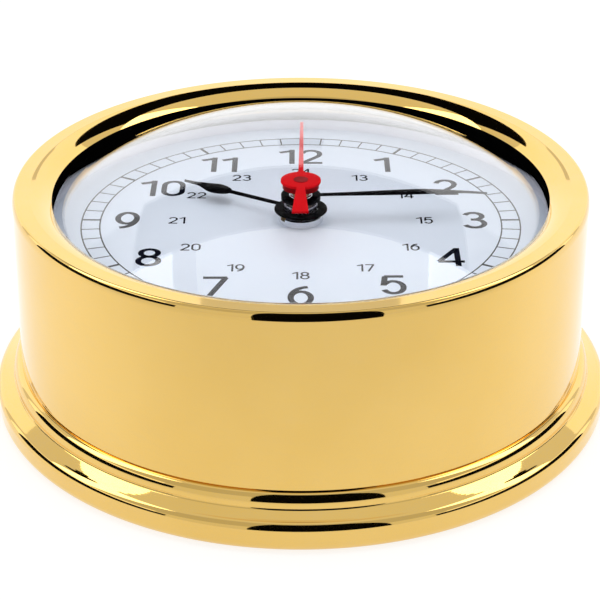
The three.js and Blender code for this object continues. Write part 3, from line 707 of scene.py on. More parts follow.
@dataclass
class BaseRing:
    """Moulded ring under the drum, with a bead, a cove, a sloping shelf and a round edge."""

    finisher: Finisher
    edge_bottom: float = 2.2
    edge_top: float = 4.2
    edge_round: float = 1.8
    edge_start_deg: float = 68
    shelf_bow: float = 1.1
    land_height: float = 9.8
    bead_width: float = 1.6
    bead_height: float = 2.4
    bead_wall: float = 0.1
    cove_round: float = 0.45
    cove_lean_deg: float = 65
    web_inset: float = 17.2
    web_thickness: float = 2.5
    spigot_wall: float = 3.2
    spigot_gap: float = 0.3
    spigot_chamfer: float = 0.3
    case_wall: float = 2.5
    seal_section: float = 1.5
    seal_above_land: float = 2.6
    groove_gap: float = 0.1
    groove_floor: float = 0.5
    screw_inset: float = 11.7
    screw_count: int = 3
    screw_hole: float = 2.25
    screw_head: float = 4.2

    def __post_init__(self) -> None:
        """Takes the outer radii and the spigot's height from the frame."""
        top = corners("mounting_base")[1]
        self.radius = top.x
        self.spigot_top = top.z
        self.case_radius = corners("case_shell")[1].x

    def outline(self) -> list[Point]:
        """Outline of the ring, from its inner foot outwards and back over the spigot.

        Returns:
            The outline's points.
        """
        bead_middle = self.land_height - self.bead_height
        wall_foot = bead_middle - self.bead_wall
        bead_outer = self.case_radius + self.bead_width
        cove_centre = (bead_outer + self.cove_round, wall_foot)
        cove = arc(cove_centre, self.cove_round, 180, 180 + self.cove_lean_deg)
        edge_centre = (self.radius - self.edge_round, self.edge_top)
        edge = arc(edge_centre, self.edge_round, self.edge_start_deg, 0, steps=14)
        foot = arc((self.radius - self.edge_bottom, self.edge_bottom), self.edge_bottom, 0, -90)
        cove_end, edge_start = cove[-1], edge[0]
        shelf = [
            (cove_end[0] + share * (edge_start[0] - cove_end[0]),
             edge_start[1] + (1 - share) ** self.shelf_bow * (cove_end[1] - edge_start[1]))
            for share in (0.15, 0.3, 0.45, 0.6, 0.75, 0.9)
        ]
        spigot_outer = self.case_radius - self.case_wall - self.spigot_gap
        spigot_inner = spigot_outer - self.spigot_wall
        groove_half = self.seal_section / 2 + self.groove_gap
        groove_z = self.land_height + self.seal_above_land
        groove_r = self.case_radius - self.case_wall - self.seal_section - self.groove_floor
        chamfer = self.spigot_chamfer
        web_inner = self.case_radius - self.web_inset
        return [
            (web_inner, 0),
            *reversed(foot),
            *reversed(edge),
            *reversed(shelf),
            *reversed(cove),
            *bow((self.case_radius, bead_middle), (self.bead_width, self.bead_height), 0, 90, 18),
            (spigot_outer, self.land_height),
            (spigot_outer, groove_z - groove_half),
            (groove_r, groove_z - groove_half),
            (groove_r, groove_z + groove_half),
            (spigot_outer, groove_z + groove_half),
            (spigot_outer, self.spigot_top - chamfer),
            (spigot_outer - chamfer, self.spigot_top),
            (spigot_inner + chamfer, self.spigot_top),
            (spigot_inner, self.spigot_top - chamfer),
            (spigot_inner, self.web_thickness),
            (web_inner, self.web_thickness),
        ]

    def screw_cutter(self, place: Point) -> Piece:
        """Shape of one countersunk hole, which reaches 1 mm past the web on both sides.

        Args:
            place: Middle of the hole.

        Returns:
            The shape.
        """
        neck = self.web_thickness - (self.screw_head - self.screw_hole)
        above = self.web_thickness + 1
        hole = lathe("screw_cutter", [
            (0, -1), (self.screw_hole, -1), (self.screw_hole, neck),
            (self.screw_head, self.web_thickness), (self.screw_head, above), (0, above),
        ], segments=32)
        hole.data.transform(Matrix.Translation(Vector((*place, 0)) * MM))
        return hole

    def build(self) -> None:
        """Makes the ring, cuts its screw holes and adds the seal in its groove."""
        ring = lathe("base_ring", self.outline())
        circle = self.case_radius - self.screw_inset
        for i in range(self.screw_count):
            turn = math.radians(90 + 360 * i / self.screw_count)
            cutter = self.screw_cutter((circle * math.cos(turn), circle * math.sin(turn)))
            hole = ring.modifiers.new("screw_hole", "BOOLEAN")
            hole.operation = "DIFFERENCE"
            hole.object = cutter
            apply_modifier(ring, hole)
            bpy.data.objects.remove(cutter)
        smooth(ring)
        self.finisher.fit(ring, "base", "case_brass", ["mounting_base"], CASE_BRASS)
        low, high = corners("base_seal")
        radius = (high.z - low.z) / 2
        section = arc((high.x - radius, (low.z + high.z) / 2), radius, 0, 345, steps=23)
        seal = lathe("base_seal_ring", section, segments=192)
        self.finisher.fit(seal, "base", "black_rubber", ["base_seal"], BLACK_RUBBER)


@dataclass
class Drum:
    """Turned brass case: a rounded rim, a level ring and a face that steepens down to the lip."""

    finisher: Finisher
    wall: float = 2.5
    foot_break: float = 0.15
    rim_height: float = 1.8
    rim_width: float = 0.8
    bezel_width: float = 7.5
    flat_width: float = 2.6
    start_slope: float = 0.194
    slope_gain: float = 0.751
    slope_power: float = 1.6
    bezel_drop: float = 2.0
    lip_wall: float = 2.4
    collar: float = 0.5
    dial_wall: float = 4.7
    bore_depth: float = 10
    bore_slope: float = 1.5
    face_steps: int = 44

    def face(self, crease: float, lip: float, lip_edge: float) -> list[Point]:
        """Sloping face inside the bezel's level ring, which gets steeper towards the lip.

        Args:
            crease: Radius where the level ring ends.
            lip: Radius of the lip.
            lip_edge: Height of the lip's edge.

        Returns:
            The points from the crease to the lip, both included.
        """
        width = crease - lip
        power = self.slope_power + 1

        def rise(share: float) -> float:
            """Height above the lip's edge at a share of the way from the crease."""
            steepening = self.slope_gain * (1 - share ** power) / power
            return width * (self.start_slope * (1 - share) + steepening)

        return [(crease - width * i / self.face_steps, lip_edge + rise(i / self.face_steps))
                for i in range(self.face_steps + 1)]

    def build(self) -> None:
        """Makes the case."""
        low, high = corners("case_shell")
        radius, top, foot = high.x, high.z, low.z
        bore = radius - self.wall
        lip = radius - self.bezel_width
        lip_edge = top - self.bezel_drop
        underside = lip_edge - self.lip_wall
        dial_bore = radius - self.dial_wall
        shoulder = underside - self.bore_depth
        rim_centre = (radius - self.rim_width, top - self.rim_height)
        shell = lathe("brass_case", [
            (bore, foot),
            (radius - self.foot_break, foot),
            (radius, foot + self.foot_break),
            *bow(rim_centre, (self.rim_width, self.rim_height), 0, 90, 18),
            *self.face(rim_centre[0] - self.flat_width, lip, lip_edge),
            (lip + self.collar, lip_edge),
            (lip + self.collar, underside),
            (dial_bore, underside),
            (dial_bore, shoulder),
            (bore, shoulder - self.bore_slope),
        ])
        self.finisher.fit(shell, "clock_head", "case_brass", ["case_shell"], CASE_BRASS)


@dataclass
class Glazing:
    """Domed glass, the gasket over its rim and the white liner that holds it off the dial."""

    finisher: Finisher
    glass_wall: float = 1.4
    rim_wall: float = 1.6
    edge_step: float = 0.7
    dome_inset: float = 7.7
    dome_steps: int = 96
    bezel_width: float = 7.5
    collar: float = 0.5
    liner_width: float = 2.0
    gasket_wall: float = 0.4
    gasket_drop: float = 0.2

    def dome(self) -> Piece:
        """Glass with a level rim and two round faces.

        Returns:
            The glass.
        """
        low, high = corners("domed_glass")
        edge = corners("case_shell")[1].x - self.dome_inset
        rim_top = low.z + self.rim_wall
        rise = high.z - rim_top - self.edge_step
        outer = (edge ** 2 + rise ** 2) / (2 * rise)
        inner = outer - self.glass_wall
        centre = high.z - outer
        inner_edge = math.sqrt(inner ** 2 - (low.z - centre) ** 2)

        def face(ball: float, reach: float) -> list[Point]:
            """Points of a round face, from the middle out to its reach, by the ball's radius."""
            radii = [reach * i / self.dome_steps for i in range(self.dome_steps + 1)]
            return [(r, centre + math.sqrt(ball ** 2 - r ** 2)) for r in radii]

        return lathe("glass_dome", [
            *face(inner, inner_edge), (high.x, low.z), (high.x, rim_top),
            *reversed(face(outer, edge)),
        ], hold=1)

    def gasket(self) -> Piece:
        """Black rubber that lies over the glass's rim and lines the bezel up to its lip, where its
        dead black is partly painted reflection.

        Returns:
            The gasket.
        """
        low, high = corners("glass_gasket")
        lip = corners("case_shell")[1].x - self.bezel_width
        shelf, top = low.z + self.gasket_wall, high.z - self.gasket_drop
        return lathe("lip_gasket", [
            (lip, low.z), (high.x, low.z), (high.x, shelf),
            (lip + self.collar, shelf), (lip + self.collar, top), (lip, top),
        ])

    def build(self) -> None:
        """Makes the glass, its gasket and the liner."""
        fit = self.finisher.fit
        fit(self.dome(), "clock_head", "clear_glass", ["domed_glass"], GLASS)
        low, high = corners("dial_liner")
        liner = flat_ring("liner_ring", (high.x - self.liner_width, high.x), (low.z, high.z))
        fit(liner, "clock_head", "liner_white", ["dial_liner"], LINER_WHITE)
        # The gasket's dead-black, glossless finish is partly painted reflection of the bezel's
        # inner wall.
        fit(self.gasket(), "clock_head", "black_rubber", ["glass_gasket"], PAINTED_DARK_LIP_RUBBER)


@dataclass
class StrokeFigures:
    """Plain upright figures drawn with one pen that is a little wider than it is tall."""

    height: float
    width: float
    pen: Point
    gap: float
    segments: int = 10

    def strokes(self, digit: str) -> list[list[Point]]:
        """Middle lines of a figure's strokes, with the lower left corner of its box at the origin.

        Args:
            digit: One of 0 to 9.

        Returns:
            One list of points for each stroke.
        """
        w, h = self.width, self.height
        left, right = self.pen[0] / 2, w - self.pen[0] / 2
        low, high = self.pen[1] / 2, h - self.pen[1] / 2
        middle = w / 2
        half = (right - left) / 2
        waist = 0.535 * h
        top_loop = (high - waist) / 2
        low_loop = (waist - low) / 2
        n = self.segments
        figures: dict[str, list[list[Point]]] = {
            "0": [bow((middle, high - 1.05 * half), (half, 1.05 * half), 0, 180, n)
                  + bow((middle, low + 1.05 * half), (half, 1.05 * half), 180, 360, n)
                  + [(right, high - 1.05 * half)]],
            "1": [[(0.02 * w, 0.8 * h), (0.56 * w, high - 0.02 * h)],
                  [(0.56 * w, 0), (0.56 * w, h)]],
            "2": [bow((middle, high - half), (half, half), 168, 0, n)
                  + bow((middle - half, high - half), (2 * half, 1.6 * half), 0, -38, 5)[1:]
                  + [(left + 0.02, low)],
                  [(0.02 * w, low), (0.99 * w, low)]],
            "3": [bow((middle - 0.05 * half, high - top_loop), (0.92 * half, top_loop), 158, -90, n)
                  + [(0.36 * w, waist)],
                  [(0.36 * w, waist)]
                  + bow((middle - 0.05 * half, low + low_loop), (1.05 * half, low_loop),
                        90, -158, n)],
            "4": [[(0.77 * w, h), (0.77 * w, 0)],
                  [(0.74 * w, high), (0.04 * w, 0.27 * h)],
                  [(0, 0.25 * h), (1.03 * w, 0.25 * h)]],
            "5": [[(0.9 * w, high), (0.17 * w, high)],
                  [(0.2 * w, high), (0.12 * w, 0.47 * h)],
                  [(0.12 * w, 0.5 * h)]
                  + bow((middle - 0.03 * half, low + 0.315 * h), (1.02 * half, 0.315 * h),
                        118, -155, n + 4)],
            "6": [bow((middle, low + 0.325 * h), (half, 0.325 * h), 0, 360, 2 * n),
                  bow((middle + 0.75 * half, low + 0.36 * h), (1.75 * half, high - low - 0.36 * h),
                      180, 92, n)],
            "7": [[(0.03 * w, high), (0.96 * w, high)],
                  [(0.9 * w, high), (0.34 * w, 0)]],
            "8": [bow((middle, high - top_loop), (0.88 * half, top_loop), -90, 270, 2 * n),
                  bow((middle, low + low_loop), (1.03 * half, low_loop), -90, 270, 2 * n)],
            "9": [bow((middle, high - 0.325 * h), (half, 0.325 * h), 0, 360, 2 * n),
                  bow((middle - 0.75 * half, high - 0.36 * h), (1.75 * half, high - low - 0.36 * h),
                      0, -88, n)],
        }
        return figures[digit]

    def advance(self, digit: str) -> float:
        """Width that a figure takes in a number."""
        return self.width * (0.68 if digit == "1" else 1.0)

    def ribbon(self, line: Sequence[Point]) -> tuple[list[Point], list[Point]]:
        """Sides of a pen stroke along a line of points.

        Args:
            line: Middle line of the stroke.

        Returns:
            The right and the left side, with one point of each for every point of the line.
        """
        right: list[Point] = []
        left: list[Point] = []
        wide, tall = self.pen
        for i, (x, y) in enumerate(line):
            before, after = line[max(i - 1, 0)], line[min(i + 1, len(line) - 1)]
            run = Vector((after[0] - before[0], after[1] - before[1])).normalized()
            normal = Vector((-run.y, run.x))
            reach = math.hypot(normal.x * wide, normal.y * tall)
            offset = Vector((normal.x * wide ** 2, normal.y * tall ** 2)) / (2 * reach)
            left.append((x + offset.x, y + offset.y))
            right.append((x - offset.x, y - offset.y))
        return right, left

    def number(self, text: str, centre: Point, bottom: float, top: float) -> list[Piece]:
        """Thin prisms of a number's strokes.

        Args:
            text: The number.
            centre: Middle of the number on the dial.
            bottom: Height of the print's lower face.
            top: Height of its upper face.

        Returns:
            One object for each stroke.
        """
        total = sum(self.advance(d) for d in text) + self.gap * (len(text) - 1)
        x = centre[0] - total / 2
        made = []
        for digit in text:
            for line in self.strokes(digit):
                placed = [(px + x, py + centre[1] - self.height / 2) for px, py in line]
                closed = math.dist(placed[0], placed[-1]) < TOUCHING
                made.append(ribbon_prism(*self.ribbon(placed), closed, bottom, top))
            x += self.advance(digit) + self.gap
        return made


def ribbon_prism(
    right: list[Point], left: list[Point], closed: bool, bottom: float, top: float
) -> Piece:
    """Thin solid of a pen stroke, made of four-sided steps along it.

    Args:
        right: Points of its right side.
        left: Points of its left side, as many.
        closed: True if the stroke ends where it starts.
        bottom: Height of the lower face.
        top: Height of the upper face.

    Returns:
        The stroke.
    """
    count = len(right)
    steps = count - 1 if closed else count
    vertices: list[Triple] = []
    for a, b in zip(right[:steps], left[:steps]):
        vertices += [(*a, bottom), (*b, bottom), (*b, top), (*a, top)]
    faces: list[tuple[int, ...]] = []
    for i in range(count - 1):
        here, after = 4 * i, 4 * ((i + 1) % steps)
        for k in range(4):
            turn = (k + 1) % 4
            faces.append((here + k, here + turn, after + turn, after + k))
    if not closed:
        last = 4 * (steps - 1)
        faces += [(3, 2, 1, 0), (last, last + 1, last + 2, last + 3)]
    return mesh_object("stroke", vertices, faces)


@dataclass
class Dial:
    """White plate with a minute track, the hours 1 to 12 and a smaller inner ring of 13 to 24."""

    finisher: Finisher
    track_outer: float = 42.13
    track_inner: float = 38.60
    ring_line: float = 0.26
    minute_line: float = 0.25
    hour_line: float = 0.58
    hour_circle: Point = (33.5, 31.8)
    inner_circle: Point = (23.9, 23.8)
    print_height: float = 0.03
    nudges: tuple[tuple[int, Point], ...] = (
        (4, (-1.2, -0.3)), (7, (1.2, -0.5)), (8, (0.8, -0.4)), (10, (1.4, -0.6)),
    )
    hole_radius: float = 3.8

    def track(self, top: float) -> list[Piece]:
        """Two thin rings and sixty strokes between them.

        Args:
            top: Height of the plate's face.

        Returns:
            The rings and strokes.
        """
        level = top + self.print_height
        inner, outer = self.track_inner, self.track_outer
        half = self.ring_line / 2
        lines = [
            flat_ring("track_ring", (r - half, r + half), (top, level), segments=240, hold=1)
            for r in (inner, outer)
        ]
        for minute in range(60):
            half = (self.hour_line if minute % 5 == 0 else self.minute_line) / 2
            sides = [(-half, inner), (half, inner), (half, outer), (-half, outer)]
            stroke = prism("track_stroke", sides, top, level)
            lines.append(turned_to(stroke, 6 * minute))
        return lines

    def figures(self, top: float) -> list[Piece]:
        """The two rings of upright numbers.

        Args:
            top: Height of the plate's face.

        Returns:
            One object for each stroke.
        """
        large = StrokeFigures(height=7.6, width=4.75, pen=(1.1, 0.88), gap=1.0)
        small = StrokeFigures(height=2.9, width=1.75, pen=(0.36, 0.32), gap=0.3)
        made = []
        nudges = dict(self.nudges)
        for hour in range(1, 13):
            turn = math.radians(30 * hour)
            for number, style, (x, y) in (
                (hour, large, self.hour_circle),
                (hour + 12, small, self.inner_circle),
            ):
                across, up = nudges.get(number, (0, 0))
                centre = (x * math.sin(turn) + across, y * math.cos(turn) + up)
                made += style.number(str(number), centre, top, top + self.print_height)
        return made

    def build(self) -> None:
        """Makes the plate and its print."""
        low, high = corners("dial_plate")
        plate = flat_ring("enamel_dial", (self.hole_radius, high.x), (low.z, high.z))
        self.finisher.fit(plate, "clock_head", "dial_white", ["dial_plate"], DIAL_ENAMEL)
        for name, parts in (
            ("minute_track", self.track(high.z)), ("dial_figures", self.figures(high.z)),
        ):
            self.finisher.fit(merged(name, parts), "clock_head", "hand_black", [], DIAL_INK)


@dataclass
class Blade:
    """Hand blade pointing to twelve, with a crowned top and straight sides."""

    thickness: float
    crown: float
    crown_share: float = 0.8
    across: tuple[float, ...] = (-1.0, -0.92, -0.7, -0.4, 0.0, 0.4, 0.7, 0.92, 1.0)

    def loft(
        self, name: str, stations: Sequence[Point], level: float, droop: Callable[[float], float]
    ) -> Piece:
        """Skin over cross sections along the blade.

        Args:
            name: The blade's name.
            stations: Distance from the middle and half width of each section.
            level: Height of the blade's lower face.
            droop: How far the blade sinks at a distance from the middle.

        Returns:
            The closed blade.
        """
        vertices: list[Sequence[float]] = []
        for y, half in stations:
            bottom = level - droop(y)
            edge = bottom + self.thickness
            rise = min(self.crown, self.crown_share * half)
            vertices += [(half, y, bottom), (-half, y, bottom)]
            vertices += [(half * a, y, edge + rise * (1 - a * a)) for a in self.across]
        size = 2 + len(self.across)
        faces: list[Sequence[int]] = []
        for i in range(len(stations) - 1):
            here, after = i * size, (i + 1) * size
            for k in range(size):
                turn = (k + 1) % size
                faces.append((here + k, after + k, after + turn, here + turn))
        faces.append(tuple(range(size)))
        faces.append(tuple(reversed(range((len(stations) - 1) * size, len(stations) * size))))
        return smooth(mesh_object(name, vertices, faces), SOFT_DEG)


def eased(start: float, end: float, share: float) -> float:
    """Value between two, with a level start and end."""
    return start + (end - start) * (3 * share ** 2 - 2 * share ** 3)


def stretch(
    start: float, end: float, steps: int, half_width: Callable[[float], float]
) -> list[Point]:
    """Stations along a stretch of blade after its start, with half widths by share of the way."""
    return [(start + (end - start) * i / steps, half_width(i / steps)) for i in range(1, steps + 1)]


@dataclass
class Hands:
    """Hour, minute and second hands with their collars, set to the time that they show."""

    finisher: Finisher
    sheet: float = 0.4
    root: float = 0.8
    hub_gap: float = 0.1
    hour_deg: float = 300.5
    hour_reach: float = 26.7
    hour_hub: float = 5.1
    hour_stem: float = 0.4
    hour_neck: float = 10.8
    hour_widest: float = 7.4
    hour_point: float = 2.8
    hour_swell: float = 0.6
    hour_belly: float = 2.0
    hour_needle: Point = (0.34, 0.2)
    hour_thickness: float = 0.24
    hour_crown: float = 0.45
    hour_collar: float = 3.2
    hour_bore: float = 2.5
    minute_deg: float = 86
    minute_reach: float = 36
    minute_hub: float = 3.8
    minute_hub_height: float = 1.0
    minute_stem: float = 0.5
    minute_widest: float = 13.7
    minute_bend: float = 14.4
    minute_point: float = 2.5
    minute_belly: float = 1.05
    minute_thickness: float = 0.22
    minute_crown: float = 0.16
    minute_needle: Point = (0.24, 0.16)
    minute_droop: float = 0.9
    minute_collar: float = 2.3
    minute_bore: float = 1.55
    collar_edge: float = 0.25
    second_deg: float = 0.4
    second_sheet: float = 0.5
    second_bevel: float = 0.04
    second_reach: float = 30
    second_hub: float = 3.85
    second_tail: float = 14.5
    second_collar: float = 3.5
    second_bore: float = 0.6
    sleeve_drop: float = 0.3
    tail_half: Point = (0.8, 1.55)
    needle_half: Point = (0.5, 0.3)
    needle_taper: float = 1.2
    rivet_radius: float = 1.4
    rivet_edge: float = 0.2
    rivet_rise: float = 0.08

    def hub(
        self, name: str, bore: float, radius: float, bottom: float, top: float, edge: float = 0.12
    ) -> Piece:
        """Flat ring with rounded corners.

        Args:
            name: The ring's name.
            bore: Radius of its hole.
            radius: Outer radius.
            bottom: Height of its lower face.
            top: Height of its upper face.
            edge: Radius of the rounded corners.

        Returns:
            The ring.
        """
        return lathe(name, [
            (bore, bottom),
            *arc((radius - edge, bottom + edge), edge, -90, 0, steps=4),
            *arc((radius - edge, top - edge), edge, 0, 90, steps=4),
            *arc((bore + edge, top - edge), edge, 90, 180, steps=4),
        ], segments=96)

    def hour_hand(self) -> Piece:
        """Thin stem, drop-shaped body and needle tip on a round hub.

        Returns:
            The hour hand.
        """
        level = corners("hour_hand")[0].z
        reach, stem, belly = self.hour_reach, self.hour_stem, self.hour_belly
        neck, widest = reach - self.hour_neck, reach - self.hour_widest
        needle, tip = self.hour_needle

        def swell(share: float) -> float:
            """Half width at a share of the way from the neck to the widest place."""
            return stem + (belly - stem) * math.sin(share * math.pi / 2) ** self.hour_swell

        stations = [
            (self.hour_hub * self.root, stem),
            (neck, stem),
            *stretch(neck, widest, 8, swell),
            *stretch(widest, reach - self.hour_point, 9,
                     lambda share: eased(belly, needle, share)),
            (reach, tip),
        ]
        shape = Blade(self.hour_thickness, self.hour_crown)
        blade = shape.loft("hour_blade", stations, level, lambda _: 0.0)
        bore = self.hour_collar + self.hub_gap
        hub = self.hub("hour_hub", bore, self.hour_hub, level, level + self.sheet)
        return turned_to(merged("hour_pointer", [hub, blade]), self.hour_deg)

    def minute_hand(self) -> Piece:
        """Slim leaf whose tip bends a little towards the dial.

        Returns:
            The minute hand.
        """
        high = corners("minute_hand")[1].z
        reach, belly = self.minute_reach, self.minute_belly
        start, widest = self.minute_hub * self.root, reach - self.minute_widest
        bend = reach - self.minute_bend
        needle, tip = self.minute_needle

        def droop(y: float) -> float:
            """How far the blade has bent down at a distance from the middle."""
            return self.minute_droop * max(0.0, (y - bend) / (reach - bend)) ** 2

        stations = [
            (start, self.minute_stem),
            *stretch(start, widest, 10, lambda share: eased(self.minute_stem, belly, share)),
            *stretch(widest, reach - self.minute_point, 10,
                     lambda share: eased(belly, needle, share)),
            (reach, tip),
        ]
        shape = Blade(self.minute_thickness, self.minute_crown)
        blade = shape.loft("minute_blade", stations, high - self.sheet, droop)
        bore = self.minute_collar + self.hub_gap
        hub = self.hub("minute_hub", bore, self.minute_hub, high - self.minute_hub_height, high)
        return turned_to(merged("minute_pointer", [hub, blade]), self.minute_deg)

    def second_hand(self) -> Piece:
        """Straight needle with a round hub and a widening tail, cut from red sheet.

        Returns:
            The second hand.
        """
        high = corners("second_hand")[1].z
        hub, tail, reach = self.second_hub, self.second_tail, self.second_reach
        join = self.root * hub
        taper = join + self.needle_taper
        (root, end), (wide, fine) = self.tail_half, self.needle_half
        outline = [
            (end, -tail), (root, -join), *arc((0, 0), hub, -75, 79, steps=24),
            (wide, taper), (fine, reach), (-fine, reach), (-wide, taper),
            *arc((0, 0), hub, 101, 255, steps=24), (-root, -join), (-end, -tail),
        ]
        top = high - self.rivet_rise
        body = prism("second_blade", outline, high - self.second_sheet, top)
        return turned_to(bevelled(body, self.second_bevel), self.second_deg)

    def collar(self, name: str, node: str, radius: float, bore: float) -> Piece:
        """Turned collar of a hand, as tall as its node."""
        low, high = corners(node)
        return self.hub(name, bore, radius, low.z, high.z, self.collar_edge)

    def build(self) -> None:
        """Makes the hands, their collars, and the second hand's sleeve and rivet."""
        fit = self.finisher.fit
        fit(self.hour_hand(), "hour_hand_pipe", "hand_black", ["hour_hand"], BLACK_LACQUER)
        fit(self.collar("hour_boss", "hour_collar", self.hour_collar, self.hour_bore),
            "hour_hand_pipe", "silver_trim", ["hour_collar"], GREY_METAL)
        fit(self.minute_hand(), "minute_hand_pipe", "hand_black", ["minute_hand"], BLACK_LACQUER)
        fit(self.collar("minute_boss", "minute_collar", self.minute_collar, self.minute_bore),
            "minute_hand_pipe", "silver_trim", ["minute_collar"], BRIGHT_METAL)
        fit(self.second_hand(), "second_hand_arbor", "hand_red", ["second_hand"], RED_LACQUER)
        low, high = (corner.z for corner in corners("second_hand"))
        top = high - self.sleeve_drop
        sleeve = self.hub("second_sleeve", self.second_bore, self.second_collar, low, top)
        radius, edge = self.rivet_radius, self.rivet_edge
        rivet = lathe("second_rivet", [
            (0, high - edge), (radius, high - edge), (radius, high - edge / 10),
            (radius - edge, high), (0, high),
        ], segments=64)
        for piece in (sleeve, rivet):
            fit(piece, "second_hand_arbor", "hand_red", [], DARK_RED)


@dataclass
class Movement:
    """Battery movement behind the dial, whose nodes keep their own shapes."""

    finisher: Finisher

    def finishes(self) -> dict[str, Finish]:
        """Finishes of the nodes that keep their own shapes.

        Returns:
            The finish of each node by its name.
        """
        ivory = ("train_bridge", "transfer_wheel", "seconds_wheel", "third_wheel", "minute_wheel",
                 "motion_wheel", "hour_wheel", "setting_knob", "coil_bobbin")
        steel = ("stator", "coil_core", "crystal_can", "positive_contact", "negative_contact")
        black = ("movement_housing", "rear_cover", "control_chip")
        brass = ("retaining_ring", "threaded_bush", "cannon_pinion")
        result: dict[str, Finish] = {}
        for names, finish in (
            (ivory, IVORY_PLASTIC), (steel, SPRING_STEEL),
            (black, BLACK_PLASTIC), (brass, TURNED_BRASS),
        ):
            result.update({name: finish for name in names})
        result.update({
            "rubber_washer": BLACK_RUBBER,
            "clamp_nut": BRIGHT_METAL,
            "rotor": FERRITE,
            "coil_winding": COPPER_WINDING,
            "circuit_board": BOARD_GREEN,
            "battery_cell": CELL_WRAP,
        })
        return result

    def build(self) -> None:
        """Dresses every node of the movement."""
        for name, finish in self.finishes().items():
            self.finisher.dress(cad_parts[name], finish)
            LOG.info("%s keeps its shape, in %s", name, finish.name)


# The studio


@dataclass(frozen=True)
class Card:
    """Flat panel that only shows in mirrors and glass.

    Attributes:
        name: The panel's name.
        centre: Its middle, in millimetres.
        size: Width and height, in millimetres.
        turn_deg: Turns about X, Y and Z. An unturned panel lies flat.
        glow: Its brightness, from 0 for black cloth.
    """

    name: str
    centre: Triple
    size: Point
    turn_deg: Triple
    glow: float = 0.0


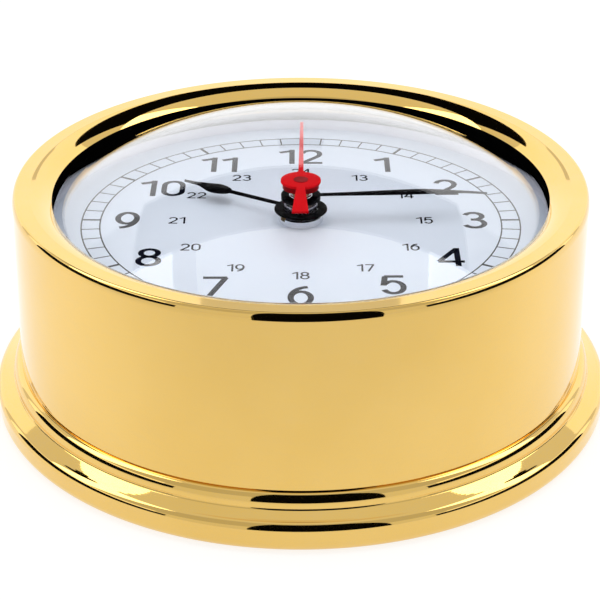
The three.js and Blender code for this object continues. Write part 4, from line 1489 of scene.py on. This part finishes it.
@dataclass
class Studio:
    """White floor and surroundings, a soft lamp, panels for the reflections, and the camera."""

    floor_half: float = 6000
    floor_drop: float = 0.05
    floor_colour: Colour = (0.93, 0.93, 0.93)
    floor_glow: float = 1.3
    floor_glow_share: float = 0.6
    mirrored_glow: Point = (0.9, 1.3)
    mirrored_from: float = -0.15
    sky_strength: Point = (0.72, 1.0)
    cloth_colour: Colour = (0.004, 0.004, 0.004)
    lamp_size: Point = (900, 700)
    lamp_place: Triple = (60, 60, 950)
    lamp_power: float = 2.6
    camera_place: Triple = (0, -358.60, 205.00)
    camera_tilt_deg: float = 64.766
    camera_lens: float = 122.607
    camera_shift: Point = (-0.0013, -0.1303)
    camera_clip: Point = (0.01, 20)
    cards: tuple[Card, ...] = (
        Card("lens_card", (21, -190, 208), (146, 416), (90, 0, 0)),
        Card("back_panel", (0, 3400, 1200), (8000, 4000), (90, 0, 0), 1.25),
        Card("far_card_edge", (0, 2500, 1380), (300, 320), (90, 0, 0), 0.75),
        Card("dark_band", (0, 1243, 1545), (2250, 1089), (0, 0, 0)),
        Card("ceiling_panel", (0, 200, 1549), (1600, 1000), (0, 0, 0), 0.8),
        Card("near_ceiling", (0, -1400, 1555), (5800, 2200), (0, 0, 0), 0.6),
        Card("left_top", (-1950, 200, 1550), (2300, 1000), (0, 0, 0), 3.0),
        Card("right_top", (1950, 200, 1550), (2300, 1000), (0, 0, 0), 3.0),
        Card("left_box", (-3000, -200, 850), (4400, 1400), (90, 0, 90), 1.4),
        Card("right_box", (3000, -200, 850), (4400, 1400), (90, 0, 90), 1.4),
        Card("left_dark", (-1450, -500, 270), (2200, 560), (90, 0, 80)),
        Card("right_dark", (1450, -500, 270), (2200, 560), (90, 0, 100)),
    )

    def flat(self, name: str, size: Point, material: Material) -> Piece:
        """Flat sheet about the origin, set into the stage.

        Args:
            name: The sheet's name.
            size: Width and height.
            material: Its material.

        Returns:
            The sheet.
        """
        x, y = size[0] / 2, size[1] / 2
        sheet = mesh_object(name, [(-x, -y, 0), (x, -y, 0), (x, y, 0), (-x, y, 0)], [(0, 1, 2, 3)])
        sheet.data.materials.append(material)
        return sheet

    def floor(self) -> None:
        """White floor that glows a little where it is seen, and keeps a soft shadow."""
        graph = Graph("studio_floor")
        path = graph.add("LightPath").outputs
        seen = graph.most(path["Is Camera Ray"], path["Is Transmission Ray"])
        shown = graph.most(seen, path["Is Glossy Ray"])
        low, high = self.mirrored_glow
        mirrored = graph.add(
            "MapRange",
            interpolation_type="SMOOTHSTEP",
            Value=graph.add("SeparateXYZ", graph.own_space()).outputs["Y"],
            From_Min=self.mirrored_from,
            From_Max=0.0,
            To_Min=low,
            To_Max=high,
        ).outputs[0]
        strength = graph.add("Mix", data_type="FLOAT", Factor=seen, A=mirrored, B=self.floor_glow)
        glow = graph.add("Emission", Strength=strength.outputs["Result"])
        paper = graph.add("BsdfDiffuse", Color=(*self.floor_colour, 1))
        share = graph.add("Math", shown, self.floor_glow_share, operation="MULTIPLY")
        graph.show(graph.add("MixShader", share.outputs[0], paper.outputs[0], glow.outputs[0]))
        sheet = self.flat("floor_sheet", (2 * self.floor_half, 2 * self.floor_half), graph.owner)
        sheet.location.z = -self.floor_drop * MM

    def surroundings(self) -> None:
        """White world at the strength that the eye sees, and lower where it only gives light."""
        graph = Graph("studio_world", world=True)
        path = graph.add("LightPath").outputs
        mirrored = graph.most(path["Is Camera Ray"], path["Is Glossy Ray"])
        seen = graph.most(mirrored, path["Is Transmission Ray"])
        graph.show(graph.add("Background", Strength=graph.spread(seen, *self.sky_strength)))
        bpy.context.scene.world = graph.owner

    def lamps(self) -> None:
        """One broad soft lamp overhead, which the mirrors don't show."""
        light = bpy.data.lights.new("overhead_lamp", "AREA")
        light.shape = "RECTANGLE"
        light.size, light.size_y = (side * MM for side in self.lamp_size)
        light.energy = self.lamp_power
        lamp = linked("overhead_lamp", light)
        lamp.location = Vector(self.lamp_place) * MM
        lamp.visible_glossy = False

    def place_cards(self) -> None:
        """Sets up the panels, which only mirrors and glass show."""
        for card in self.cards:
            graph = Graph(card.name)
            if card.glow > 0:
                graph.show(graph.add("Emission", Strength=card.glow, Color=(1, 1, 1, 1)))
            else:
                graph.show(graph.add("BsdfDiffuse", Color=(*self.cloth_colour, 1)))
            sheet = self.flat(card.name, card.size, graph.owner)
            sheet.location = Vector(card.centre) * MM
            sheet.rotation_euler = [math.radians(a) for a in card.turn_deg]
            sheet.visible_camera = False
            sheet.visible_diffuse = False
            sheet.visible_shadow = False

    def camera(self) -> None:
        """Camera at the viewing angle of the photograph."""
        data = bpy.data.cameras.new("clock_camera")
        data.sensor_width = 36
        data.lens = self.camera_lens
        data.shift_x, data.shift_y = self.camera_shift
        data.clip_start, data.clip_end = self.camera_clip
        camera = linked("clock_camera", data)
        camera.location = Vector(self.camera_place) * MM
        camera.rotation_euler = (math.radians(self.camera_tilt_deg), 0, 0)
        bpy.context.scene.camera = camera

    def build(self) -> None:
        """Sets up the whole studio."""
        self.floor()
        self.surroundings()
        self.lamps()
        self.place_cards()
        self.camera()
        bpy.context.scene.view_settings.view_transform = "Standard"


def main() -> None:
    """Builds the clock from the base up, then the studio."""
    logging.basicConfig(level=logging.INFO, format="%(message)s")
    finisher = Finisher()
    for section in (
        BaseRing(finisher),
        Drum(finisher),
        Glazing(finisher),
        Dial(finisher),
        Hands(finisher),
        Movement(finisher),
        Studio(),
    ):
        section.build()
        LOG.info("%s built", type(section).__name__)


if __name__ == "__main__":
    main()
